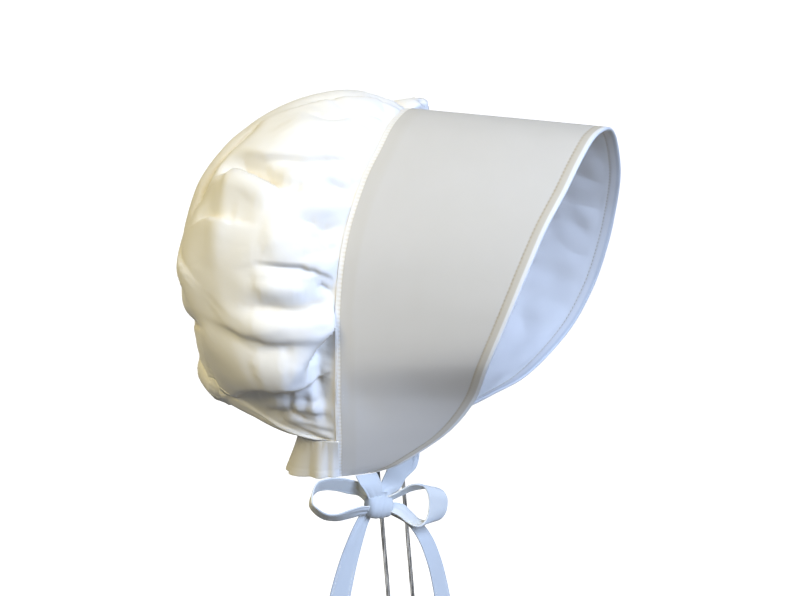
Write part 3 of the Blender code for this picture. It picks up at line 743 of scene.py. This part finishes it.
# Painted shade darkens the crown's creases, and its edge where it goes in under the band.
CREASE_SHADE_TINT = (0.86, 0.80, 0.69)
painted_crease_shade = np.maximum(painted_crease_shade * fixed, 0.9 * bump(far_in / 1.3))
painted_crease_shade = np.concatenate([painted_crease_shade[:, :1], painted_crease_shade], axis=1)[:, :, None]
shade = 1 - painted_crease_shade * CREASE_SHADE_STRENGTH * (1 - np.array(CREASE_SHADE_TINT))
crown = round_cloth("crown_cloth", crown_grid, CROWN_THICK, shade)
dress(crown, CROWN_COTTON, "crown_cotton", "crown")

# %% [markdown]
# ## The brim
#
# The brim is two layers of cotton over a stiffener: smooth outside, softly wrinkled
# inside, with a turned rim and a row of stitches 7 mm in from it. It is drawn as
# one closed section, carried along the seam: down the outside from the seam to the
# rim, round the rim's edge, and back up the inside.

# %% The brim as a closed section
BRIM_ROUND = 640
BRIM_DEEP = 40
RIM_ZONE = 12
RIM_ROWS = 15
RIM_STEPS = 5
STITCH_IN = 7.0
STITCH_PITCH = 3.0


def brim_grid():
    """Outer and inner surfaces of the brim, from its seam to its rim."""
    places = np.linspace(-1, 1, BRIM_ROUND + 1)
    seam, rim = brim_lines(places)
    forward = unit(rim - seam)
    length = np.linalg.norm(rim - seam, axis=1)[:, None] + TUCK
    behind = RIM_ZONE + (length - RIM_ZONE) * np.linspace(1, 0, BRIM_DEEP + 1)[None, :-1]
    close = np.repeat(np.linspace(RIM_ZONE, 0, RIM_ROWS + 1)[None], len(places), axis=0)
    from_rim = np.concatenate([behind, close], axis=1)
    middle = rim[:, None] - forward[:, None] * from_rim[:, :, None]
    return places, middle, -grid_normals(middle)


def double_section(middle, normal, outer, inner, half):
    """Closed sections of a sheet whose far edge is rounded over."""
    rounds = np.linspace(pi / 2, -pi / 2, RIM_STEPS + 2)[1:-1]
    forward = unit(middle[:, -1] - middle[:, -2])
    rounded = [middle[:, -1] + normal[:, -1] * half * sin(a) + forward * half * cos(a) for a in rounds]
    outside = middle + normal * outer[:, :, None]
    inside = middle + normal * inner[:, :, None]
    return np.concatenate([outside, np.stack(rounded, axis=1), inside[:, ::-1]], axis=1)


print("the brim is", BRIM_THICK, "mm thick, stitched", STITCH_IN, "mm in from its rim")

# %% The brim's dents, wrinkles and stitched groove
Dent = namedtuple("Dent", "at wide share")
DENTS = [Dent((-80, -4, 322), 15, 1.0), Dent((-76, -14, 305), 12, 0.8)]
DENT_DEEP = 1.1
GROOVE_DEEP = 0.34
GROOVE_WIDE = 0.8
PUCKER = 0.06
OUTER_WAVE = 0.10
OUTER_RIPPLE = 0.03
INNER_WRINKLE = 0.7
INNER_RIPPLE = 0.3
END_SCRUNCH = 0.15


def brim_section(middle, normal, places):
    """The closed sections: outside, rounded rim and inside."""
    far_out = np.stack([far_along(row[::-1])[::-1] for row in middle])
    far_in = np.stack([far_along(row) for row in middle])
    rim_far = far_along(middle[:, -1])[:, None]
    half = BRIM_THICK / 2
    dimple = 0.5 + 0.5 * np.cos(2 * pi * rim_far / STITCH_PITCH)
    groove = GROOVE_DEEP * bump((far_out - STITCH_IN) / GROOVE_WIDE) * (0.55 + 0.45 * dimple)
    pucker = unevenness(middle, 7, 31) * bump((far_out - STITCH_IN) / 5) * PUCKER
    wave = OUTER_WAVE * unevenness(middle, 80, 32) + OUTER_RIPPLE * unevenness(middle, 24, 33)
    dent = sum(row.share * bump(np.linalg.norm(middle - np.array(row.at), axis=2) / row.wide)
               for row in DENTS)
    low_edge = ease((0.94 - np.abs(places[:, None])) / 0.06)
    scrunch = np.abs(np.sin(2 * pi * far_in / 5.5 + unevenness(middle, 14, 34)))
    outer = half - groove + pucker + wave - DENT_DEEP * dent * ease(far_in / 5)
    outer = outer + END_SCRUNCH * (1 - low_edge) * (scrunch - 0.5) * unevenness(middle, 18, 37)
    wrinkle = INNER_WRINKLE * np.abs(unevenness(middle, 26, 35)) * ease((far_out - 9) / 10)
    ripple = INNER_RIPPLE * unevenness(middle, 11, 36) * ease((far_out - 8) / 6)
    inner = groove - half - wrinkle * ease(far_in / 10) - ripple * ease(far_in / 8)
    return double_section(middle, normal, outer, inner, half)


places, brim_middle, brim_normal = brim_grid()
brim = closed_bar("brim_cloth", brim_section(brim_middle, brim_normal, places)[:, ::-1])

# %% The brim's tints
# Painted light on the brim: a highlight on the turned rim, warm shade inside the stitches, shade at the
# stitch holes, and a lighter, bluer inside.
RIM_TURN = 2.0
RIM_HIGHLIGHT_TINT = (1.30, 1.36, 1.45)
WARM_SHADE_AND_ALLOWANCE_TINT = (0.93, 0.90, 0.83)
STITCH_SHADE_TINT = (0.72, 0.64, 0.50)
INSIDE_LIGHT_TINT = (1.52, 1.54, 1.58)


def brim_tint(middle):
    """The brim's tint: a painted highlight on the turned rim, painted warm shade
    between the stitches and the rim, a warm allowance beside the band, painted shade
    at the stitch holes, and an inside lifted out of the outside's painted shade with a
    little painted blue light, all fitted to the photograph."""
    far_out = np.stack([far_along(row[::-1])[::-1] for row in middle])[:, :, None]
    far_in = np.stack([far_along(row) for row in middle])[:, :, None]
    outside = np.ones(middle.shape)
    # Painted warm shade between the stitches and the rim, and the warm allowance beside the band.
    warm = np.maximum(ease((STITCH_IN - far_out) / 1.5 + 0.5), 0.35 * ease((11.5 - far_in) / 3))
    outside = outside + warm * (np.array(WARM_SHADE_AND_ALLOWANCE_TINT) - 1)
    # A painted highlight along the turned rim.
    turned = ease((RIM_TURN - far_out) / 1.2 + 0.5)
    outside = outside + turned * (np.array(RIM_HIGHLIGHT_TINT) - outside)
    rim_far = far_along(middle[:, -1])[:, None, None]
    # Painted shade at each stitch hole along the stitched line.
    stitch_shade = bump((far_out - STITCH_IN) / 0.7) * (0.35 + 0.65 * bump((rim_far % STITCH_PITCH - 1.5) / 0.9))
    outside = outside * (1 - stitch_shade * (1 - np.array(STITCH_SHADE_TINT)))
    # The inside is lifted out of the outside's painted shade, with a little painted blue light.
    inside = np.ones(middle.shape) * INSIDE_LIGHT_TINT
    inside = inside * (1 - 0.6 * stitch_shade * (1 - np.array(STITCH_SHADE_TINT)))
    inside = inside + turned * (np.array(RIM_HIGHLIGHT_TINT) - inside)
    rounded = np.ones((len(middle), RIM_STEPS, 3)) * RIM_HIGHLIGHT_TINT
    return np.concatenate([outside, rounded, inside[:, ::-1]], axis=1)


tint(brim, brim_tint(brim_middle)[:, ::-1].reshape(-1, 3))
dress(brim, BRIM_COTTON, "brim_cotton", "brim")
print("the brim's inside is", INSIDE_LIGHT_TINT[0], "times as light as its outside")

# %% [markdown]
# ## The band
#
# The band is a narrow bias strip laid over the seam, raised like a flat cord. It is
# stitched down along its front edge, and each stitch pulls that edge in a little,
# which gives the dimpled line that shows in the photograph. Each dimple also gets
# painted shade.

# %% The band with its dimpled edge
BAND_ROUND = 1000
BAND_THICK = 3.4
BAND_LIFT = 0.8
GAP = 0.3


def band_rings():
    """Sections of the band, with a dimple at each stitch of its front edge, and painted shade in each
    dimple.
    """
    seam, forward, outward = brim_frame(np.linspace(-1, 1, BAND_ROUND + 1))
    far = far_along(seam)
    stitch = (0.5 + 0.5 * np.cos(2 * pi * far / STITCH_PITCH)) ** 1.6
    sway = 0.25 * unevenness(seam, 18, 41) + 0.12 * unevenness(seam, 5, 42)
    high = BAND_THICK / 2
    section = [(0.0, -0.9), (0.0, 0.15), (0.14, 0.62), (0.32, 0.93), (0.55, 1.0), (0.78, 0.93),
               (0.93, 0.62), (1.0, 0.1), (1.0, -0.9)]
    rings = []
    shades = []
    for across, up in section:
        front = max(0.0, 1 - across / 0.45)
        at = GAP + across * (BAND_WIDE - GAP) + front * stitch * 0.6 + sway * (1 - across) * 0.5
        rise = BAND_LIFT + high * up - front * stitch * 0.75 * (up > 0) + sway * (up > 0) * 0.6
        rings.append(seam - forward * at[:, None] + outward * rise[:, None])
        # Painted shade in each stitch's dimple along the front edge.
        shades.append(1 - 0.7 * (front * stitch)[:, None] * (1 - np.array(STITCH_SHADE_TINT)))
    return np.stack(rings, axis=1), np.stack(shades, axis=1)


rings, shades = band_rings()
band = closed_bar("band_strip", rings[:, ::-1])
tint(band, shades[:, ::-1].reshape(-1, 3))
dress(band, BAND_COTTON, "band_cotton", "brim_band")

# %% [markdown]
# ## The neck frill
#
# Below the neck the cloth runs on as a short frill. It is drawn in along the neck
# line, where its pleats are small and sharp, and it opens into rounder ruffles at
# its hem, which is turned up and stitched.

# %% The frill
CURTAIN_ROUND = 560
CURTAIN_DEEP = 30
CURTAIN_THICK = 1.3
HEM_BACK_Y = 80
HEM_BACK_Z = 251
HEM_FLARE = 7
HEM_UP = 1.5
HEM_TURN = 6
RUFFLE_DEEP = 2.4
RUFFLE_PITCH = 24


def curtain_middle():
    """The frill's middle surface, ruffled."""
    neck = neck_place()
    behind = behind_band(np.array([-1.0, -0.5 - neck / 2, -neck]))
    top = resample(round_back(behind[2], NECK_BACK_Y, NECK_BACK_Z, 0, 241), CURTAIN_ROUND + 1)
    hem = resample(round_back(behind[0], HEM_BACK_Y, HEM_BACK_Z, HEM_FLARE, 241), CURTAIN_ROUND + 1)
    hem[:, 2] += HEM_UP
    share = np.linspace(0, 1, CURTAIN_DEEP + 1)[None, :, None]
    middle = top[:, None] * (1 - share) + hem[:, None] * share
    middle[:, :, 2] -= CROWN_THICK / 2 + GAP
    normal = grid_normals(middle)
    far = far_along(top)
    ends = ease(np.minimum(far, far[-1] - far) / 10)[:, None]
    phase = far / RUFFLE_PITCH + 0.22 * np.sin(2 * pi * far / 97) + 0.15 * np.sin(2 * pi * far / 61)
    ruffle = 2 * np.sqrt(np.sin(pi * (phase - 0.3)) ** 2 + 0.12)[:, None] - 1.35
    pleat = np.abs(np.sin(pi * (far / 4.2 + 0.6 * np.sin(2 * pi * far / 31))))[:, None] - 0.5
    t = share[:, :, 0]
    push = RUFFLE_DEEP * ruffle * ends * t**0.7
    push = push + 0.8 * pleat * ends * (0.35 + ease(t / 0.12)) * np.exp(-t / 0.11)
    push = push + 0.5 * unevenness(middle, 18, 51) * t
    middle = middle + normal * push[:, :, None]
    for end, inner in ((0, 4), (-1, -5)):
        middle[end] += unit(middle[end] - middle[inner]) * TUCK
    return middle, grid_normals(middle)


def make_curtain():
    middle, normal = curtain_middle()
    far_out = np.stack([far_along(row[::-1])[::-1] for row in middle])
    half = CURTAIN_THICK / 2
    turned = 0.30 * ease((HEM_TURN - far_out) / 0.8)
    groove = 0.22 * bump((far_out - HEM_TURN) / 0.6)
    return double_section(middle, normal, half - groove, -half - turned + groove, half)


curtain = closed_bar("curtain_frill", make_curtain())
dress(curtain, FRILL_COTTON, "crown_cotton", "curtain")

# %% [markdown]
# ## The ties and the bow
#
# The two ties are flat cotton straps about 16 mm wide. Each strap is one smooth
# line through a short table: along, up and toward place it from the knot, wide is
# its width, and turn and rise point its width. Where a strap is squeezed into the
# knot it narrows, and what it loses in width goes into lengthwise folds.

# %% The tables of the straps
KNOT = (-36, 0, 235)
BOW_TURN = -45
KNOT_SIZE = (10.3, 9.3, 8.8)
KNOT_SHIFT = 1.8
KNOT_SQUARE = 4.5
TIE_START = 0.63
TIE_THICK = 1.5
TIE_WIDE = 16
StrapRow = namedtuple("StrapRow", "along up toward wide turn rise")


def strap_table(*rows):
    """A strap's rows with their columns named."""
    return [StrapRow(*row) for row in rows]


NEAR_TIE = strap_table(
    (-6, 17, 5, 16, -3, 0),
    (-4, 11.5, 5, 12.5, 0, 0),
    (-1, 3, 2, 9, 0, 0),
)
FAR_TIE = strap_table(
    (48.5, 22, -50.5, 12, 72, -12),
    (42.5, 20, -42.5, 13, 48, -30),
    (27, 17, -27.5, 16, 30, -46),
    (15.5, 12.5, -11.5, 15, 30, -46),
    (7.5, 9, -3.5, 11, 30, -46),
    (2, 3, -1, 8, 30, -46),
)
BACK_LOOP = strap_table(
    (-5, 4, -3, 9, 90, 50),
    (-10.5, 11, -6, 13, 100, 56),
    (-19.5, 14.5, -4.5, 15.5, 105, 56),
    (-31.5, 18, -0.5, 16, 110, 48),
    (-40.5, 19.5, 4, 16, 110, 42),
    (-48, 19, 8.5, 16, 107, 36),
    (-53, 14.5, 13, 16, 103, 27),
    (-54.5, 9, 16, 16, 101, 22),
    (-51, 4.5, 17, 16, 98, 24),
    (-45, 0.2, 16, 16, 101, 27),
    (-36.5, -2.2, 13.5, 16, 106, 29),
    (-23, -2, 8, 15, 110, 36),
    (-13.5, -1.5, 4.5, 12, 108, 44),
    (-5, -2, 2, 9, 100, 45),
)
FRONT_LOOP = strap_table(
    (5, 4, 0, 9, 115, 26),
    (11, 6, 3, 12, 112, 30),
    (18, 9.5, 5, 14, 112, 31),
    (24, 12.5, 7, 16, 114, 30),
    (29, 13.5, 9, 16, 121, 26),
    (34.5, 13.5, 10, 16, 143, 20),
    (39.5, 11, 11, 16, 163, 14),
    (42, 6, 12, 16, 168, 7),
    (42.5, 0, 12, 16, 170, 2),
    (41.5, -6, 12, 16, 168, 2),
    (38.5, -11, 11.5, 16, 158, 3),
    (34, -13, 11, 16, 138, 1),
    (28.5, -12.7, 10, 16, 122, -4),
    (23.5, -9.2, 8, 15, 119, -20),
    (16, -3.1, 5.5, 13, 127, -28),
    (11, -1.3, 4, 11, 130, -28),
    (5, -2.5, 2, 9, 128, -22),
)
BACK_TAIL = strap_table(
    (-5, -3, -3, 9, 0, 0),
    (-10, -12, -3, 10.5, 0, 0),
    (-17, -30, -3, 13.5, 0, 0),
    (-23.5, -50, -2, 15, 5, 0),
    (-29, -72, -1, 16, 8, 0),
    (-33, -105, 1, 16, 12, 0),
    (-34, -140, 2, 16, 16, 0),
    (-33, -178, 2, 16, 18, 0),
)
FRONT_TAIL = strap_table(
    (6, -3, -3, 9, 14, 0),
    (18, -9, -5, 11, -4, 0),
    (31.5, -18, -6, 13, -20, 0),
    (39.5, -29, -6, 15, -27, 0),
    (45.5, -44, -5, 16, -28, 0),
    (52, -70, -4, 16, -26, 0),
    (56, -105, -3, 16, -20, 0),
    (57, -140, -2, 16, -15, 0),
    (56, -172, -2, 16, -12, 0),
)
print("rows of the front tail:", len(FRONT_TAIL))

# %% Straps with rounded, stitched edges
STRAP_STEP = 1.0
STRAP_ACROSS = 29
EDGE_STITCH = 2.0
TIE_STITCH_PITCH = 2.5


def bow_axes():
    """The bow's along, up and toward directions."""
    turn = radians(BOW_TURN)
    along = np.array([cos(turn), sin(turn), 0])
    toward = np.array([sin(turn), -cos(turn), 0])
    return np.array([along, [0, 0, 1], toward])


def strap_path(rows, start=None):
    """A strap's middle line, its width vectors and its face's normals."""
    axes = bow_axes()
    points = [np.array([row.along, row.up, row.toward]) @ axes + KNOT for row in rows]
    widths = []
    for row in rows:
        turn = radians(row.turn)
        rise = radians(row.rise)
        widths.append(np.array([cos(rise) * cos(turn), sin(rise), cos(rise) * sin(turn)]) @ axes * row.wide)
    if start is not None:
        points.insert(0, start[0])
        widths.insert(0, start[1])
    far = far_along(np.array(points))
    at = np.linspace(0, far[-1], round(far[-1] / STRAP_STEP))
    line = spline(far, points, at)
    wide = spline(far, widths, at)
    way = unit(np.gradient(line, axis=0))
    return line, wide, unit(np.cross(way, wide))


def strap_rings(path, seed):
    """Closed sections of a strap: flat in the middle, rounded and stitched at its edges."""
    line, wide, normal = path
    across = np.cos(np.linspace(pi, 0, STRAP_ACROSS))[None, :]
    width = np.linalg.norm(wide, axis=1)[:, None]
    far = far_along(line)[:, None]
    from_edge = (1 - np.abs(across)) * width / 2
    half = TIE_THICK / 2 * np.sqrt(np.clip(from_edge / 0.8, 0, 1) * (2 - np.clip(from_edge / 0.8, 0, 1)))
    stitch = 0.5 + 0.5 * np.cos(2 * pi * far / TIE_STITCH_PITCH)
    face = half - 0.2 * bump((from_edge - EDGE_STITCH) / 0.5) * (0.6 + 0.4 * stitch)
    random = np.random.default_rng(seed)
    tight = np.clip(1 - width / TIE_WIDE, 0, 1)
    folds = np.sin(2 * pi * (1.1 * across + random.uniform(0, 1) + far / 90))
    folds = folds + 0.3 * np.sin(2 * pi * (2.1 * across + random.uniform(0, 1) - far / 60))
    points = line[:, None] + wide[:, None] / 2 * across[:, :, None]
    shift = 0.9 * tight * folds
    shift = shift + 0.12 * unevenness(points, 16, seed) + 0.35 * unevenness(points, 45, seed + 1)
    upper = points + normal[:, None] * (shift + face)[:, :, None]
    lower = points + normal[:, None] * (shift - face)[:, :, None]
    return np.concatenate([upper, lower[:, -2:0:-1]], axis=1)


def brim_end(side):
    """Where a tie starts, on the brim's lower edge, and the direction of that edge."""
    seam, rim = brim_lines(np.array([float(side)]))
    start = seam[0] + (rim[0] - seam[0]) * TIE_START
    start[2] -= BRIM_THICK / 2 + GAP
    return start, unit(rim[0] - seam[0]) * TIE_WIDE


Strap = namedtuple("Strap", "name rows start seed stands_for")
STRAPS = [
    Strap("near_tie", NEAR_TIE, brim_end(-1), 61, "tie_right"),
    Strap("far_tie", FAR_TIE, brim_end(1), 62, "tie_left"),
    Strap("back_loop", BACK_LOOP, None, 63, "bow"),
    Strap("front_loop", FRONT_LOOP, None, 64, "bow"),
    Strap("back_tail", BACK_TAIL, None, 65, "bow"),
    Strap("front_tail", FRONT_TAIL, None, 66, "bow"),
]
paths = {}
straps = {}
for row in STRAPS:
    paths[row.name] = strap_path(row.rows, row.start)
    straps[row.name] = closed_bar(row.name + "_strap", strap_rings(paths[row.name], row.seed))
    dress(straps[row.name], TIE_COTTON, "tie_cotton", row.stands_for)

# %% [markdown]
# The knot is the strap wound once round the others: a short barrel, with the folds
# running round it on a slant and one edge of the strap lying over the next.

# %% The knot
KNOT_ROUND = 96
KNOT_LEVELS = 49


def knot_rings():
    turns = np.linspace(0, 2 * pi, KNOT_ROUND, endpoint=False)[None, :]
    levels = np.linspace(-0.985, 0.985, KNOT_LEVELS)[:, None]
    round_in = (1 - np.abs(levels) ** KNOT_SQUARE) ** 0.5
    slant = levels + 0.34 * np.sin(turns - 0.8)
    folds = 0.020 * np.sin(2 * pi * slant * 0.9 + 0.6) + 0.010 * np.sin(2 * pi * slant * 2.3 + 1.1)
    lap = 0.03 * np.tanh((slant - 0.25) / 0.04) * bump((slant - 0.25) / 0.35)
    size = round_in * (1 + folds + lap)
    x = levels + 0 * turns
    points = np.stack([x, size * np.cos(turns), size * np.sin(turns)], axis=2)
    points = points * np.array(KNOT_SIZE) + (KNOT_SHIFT, 0, 0)
    return points @ bow_axes() + KNOT


knot = closed_bar("knot_wrap", knot_rings()[:, ::-1])
dress(knot, TIE_COTTON, "tie_cotton", "bow")

# %% [markdown]
# ## Stitches
#
# One stitch is a small stretched sphere. It is copied along each seam line, turned
# to the line, and all the copies of one piece are joined into one object.

# %% One stitch, modelled once
STITCH_LONG = 2.2
STITCH_ROUND = 0.42


def stitch_template():
    bpy.ops.object.select_all(action="DESELECT")
    bpy.ops.mesh.primitive_uv_sphere_add(segments=8, ring_count=5, radius=0.5)
    ball = bpy.context.object
    ball.name = "stitch"
    ball.scale = (STITCH_LONG * MM, STITCH_ROUND * MM, STITCH_ROUND * MM)
    bpy.ops.object.transform_apply(location=True, rotation=True, scale=True)
    bpy.ops.object.shade_smooth()
    return ball


def stitch_rows(name, rows, material, slot, pitch, sink=0.05):
    """Copies of the stitch along lines in millimetres, all joined into one object."""
    ball = stitch_template()
    shape = np.array([v.co for v in ball.data.vertices]) / MM
    polygons = [tuple(p.vertices) for p in ball.data.polygons]
    bpy.data.objects.remove(ball, do_unlink=True)
    verts = []
    faces = []
    for line, normals in rows:
        far = far_along(line)
        at = (np.arange(int(far[-1] / pitch)) + 0.5) * pitch
        slopes = np.gradient(line, axis=0)
        spots = np.stack([np.interp(at, far, line[:, k]) for k in range(3)], axis=1)
        ups = unit(np.stack([np.interp(at, far, normals[:, k]) for k in range(3)], axis=1))
        ways = unit(np.stack([np.interp(at, far, slopes[:, k]) for k in range(3)], axis=1))
        for spot, up, way in zip(spots, ups, ways):
            side_way = np.cross(up, way)
            place = spot - up * sink
            start = len(verts)
            verts += (place + shape[:, :1] * way + shape[:, 1:2] * side_way + shape[:, 2:] * up).tolist()
            faces += [tuple(start + v for v in face) for face in polygons]
    print(name, len(faces) // len(polygons), "stitches,", len(faces), "faces")
    return dress(mesh_object(name, verts, faces), material, slot)


print("a stitch is", STITCH_LONG, "mm long")

# %% Rows of stitches on the brim and the straps
def brim_line_at(from_rim, outside):
    """A line on the brim's face, a little in from its rim, and its normals."""
    ways = unit(brim_middle[:, -1] - brim_middle[:, -12])
    line = brim_middle[:, -1] - ways * from_rim
    normals = brim_normal[:, -6] * (1 if outside else -1)
    return (line + normals * (BRIM_THICK / 2 - 0.28))[8:-8], normals[8:-8]


def strap_edge_lines(path):
    """The four stitched lines of a strap: by both edges, on both faces."""
    line, wide, normal = path
    width = np.linalg.norm(wide, axis=1, keepdims=True)
    kept = width[:, 0] > 14.5
    lines = []
    for edge in (-1, 1):
        side_line = line + wide / 2 * edge * (1 - 2 * EDGE_STITCH / width)
        for face in (-1, 1):
            on = side_line + normal * face * (TIE_THICK / 2 - 0.12)
            lines.append((on[kept], normal[kept] * face))
    return lines


brim_rows = [brim_line_at(STITCH_IN, True), brim_line_at(STITCH_IN, False)]
stitches = {"brim": stitch_rows("brim_stitches", brim_rows, THREAD, "brim_cotton", STITCH_PITCH)}
for label, path in paths.items():
    stitches[label] = stitch_rows(label + "_stitches", strap_edge_lines(path), WHITE_THREAD,
                                  "tie_cotton", TIE_STITCH_PITCH)
print(len(stitches), "pieces have rows of stitches")

# %% [markdown]
# ## The columns for what each piece was cut from
#
# Cloth has a flat size, from before it was gathered, folded or hung. Cut names the
# columns for it: piece, wide, long, area, held, rests_on and sewn_on; no piece's cut
# is listed here. The crown's cut is rounded at its corners and the brim's narrows to
# its ends, so these two would give their own area as well. The knot is a filled form
# and not a sheet.

Cut = namedtuple("Cut", "piece wide long area held rests_on sewn_on")

# %% [markdown]
# ## The steel stand
#
# The stand keeps its plain solid: round wire is already right. Drawn steel has fine
# streaks along the wire, darker and brighter, with small changes of gloss. A noise
# that is stretched along the height gives them.

# %% Steel for the stand
def steel():
    """Bright drawn steel with faint streaks along the wire."""
    material, tree, shader = new_material("stand_steel", Metallic=1.0)
    place = add_node(tree, "TexCoord").outputs["Object"]
    stretch = add_node(tree, "Mapping", place, Scale=(1, 1, 0.08))
    streaks = add_node(tree, "TexNoise", stretch.outputs["Vector"], Scale=900, Detail=3)
    colour = colours_between(tree, streaks, 0.35, (0.02, 0.02, 0.02), 0.68, (0.34, 0.34, 0.34))
    tree.links.new(colour.outputs["Color"], shader.inputs["Base Color"])
    rough = add_node(tree, "MapRange", To_Min=0.16, To_Max=0.34)
    tree.links.new(streaks.outputs["Fac"], rough.inputs["Value"])
    tree.links.new(rough.outputs["Result"], shader.inputs["Roughness"])
    return material


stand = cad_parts["wire_stand"]
stand.data.materials.clear()
stand.data.materials.append(steel())
print("stand", len(stand.data.polygons), "faces keep their shape")

# %% [markdown]
# ## Floor and light
#
# The photograph is on plain white. A wide pale floor and a pale world give that. A
# blue window light comes from in front, and a warm room light from behind on the
# left: where both fall on the cotton it looks white. The near tie, knot and tails
# have none of the warm light in the photograph, so light linking keeps it off them.
# A weak low light stands for what the table sends up, for the brim and band alone.

# %% Floor and lights
def soft_light(name, turn, rise, far, size, power, colour):
    """A square light at an angle round the bonnet, facing it."""
    data = bpy.data.lights.new(name, "AREA")
    data.size = size
    data.energy = power
    data.color = colour
    light = bpy.data.objects.new(name, data)
    bpy.context.scene.collection.objects.link(light)
    away = direction(radians(turn), radians(rise))
    light.location = CAMERA_AIM + away * far
    light.rotation_mode = "QUATERNION"
    light.rotation_quaternion = (-away).to_track_quat("-Z", "Y")
    return light


bpy.ops.object.select_all(action="DESELECT")
bpy.ops.mesh.primitive_plane_add(size=8, location=(0, 0, 0))
floor = bpy.context.object
floor.name = "floor"
wall_place = CAMERA_AIM - back * 3
wall_turn = camera.rotation_quaternion.to_euler()
bpy.ops.mesh.primitive_plane_add(size=8, location=wall_place, rotation=wall_turn)
wall = bpy.context.object
wall.name = "backdrop"
pale = new_material("pale_floor", Base_Color=(0.95, 0.95, 0.95, 1), Roughness=0.9,
                    Emission_Color=(1, 1, 1, 1), Emission_Strength=0.9)[0]
for surface in (floor, wall):
    surface.data.materials.append(pale)
    surface.visible_diffuse = False

room = soft_light("warm_room", -112, 40, 2.0, 1.4, 27, (1.0, 0.84, 0.42))
soft_light("blue_window", -36, 25, 2.2, 1.1, 61, (0.56, 0.70, 1.0))
table = soft_light("table_bounce", -100, -60, 0.36, 0.25, 0.17, (1.0, 0.96, 0.88))
table.visible_camera = False
lit = bpy.data.collections.new("lit_from_the_table")
for piece in (brim, band):
    lit.objects.link(piece)
table.light_linking.receiver_collection = lit
shaded = bpy.data.collections.new("shaded_from_the_room")
for piece in (straps["near_tie"], straps["back_tail"], straps["front_tail"], knot):
    shaded.objects.link(piece)
room.light_linking.receiver_collection = shaded
for entry in shaded.collection_objects:
    entry.light_linking.link_state = "EXCLUDE"

world = bpy.data.worlds.new("pale_world")
world.use_nodes = True
set_sockets(world.node_tree.nodes["Background"], {"Color": (1.0, 0.97, 0.90, 1), "Strength": 0.11})
bpy.context.scene.world = world
bpy.context.scene.view_settings.view_transform = "Standard"
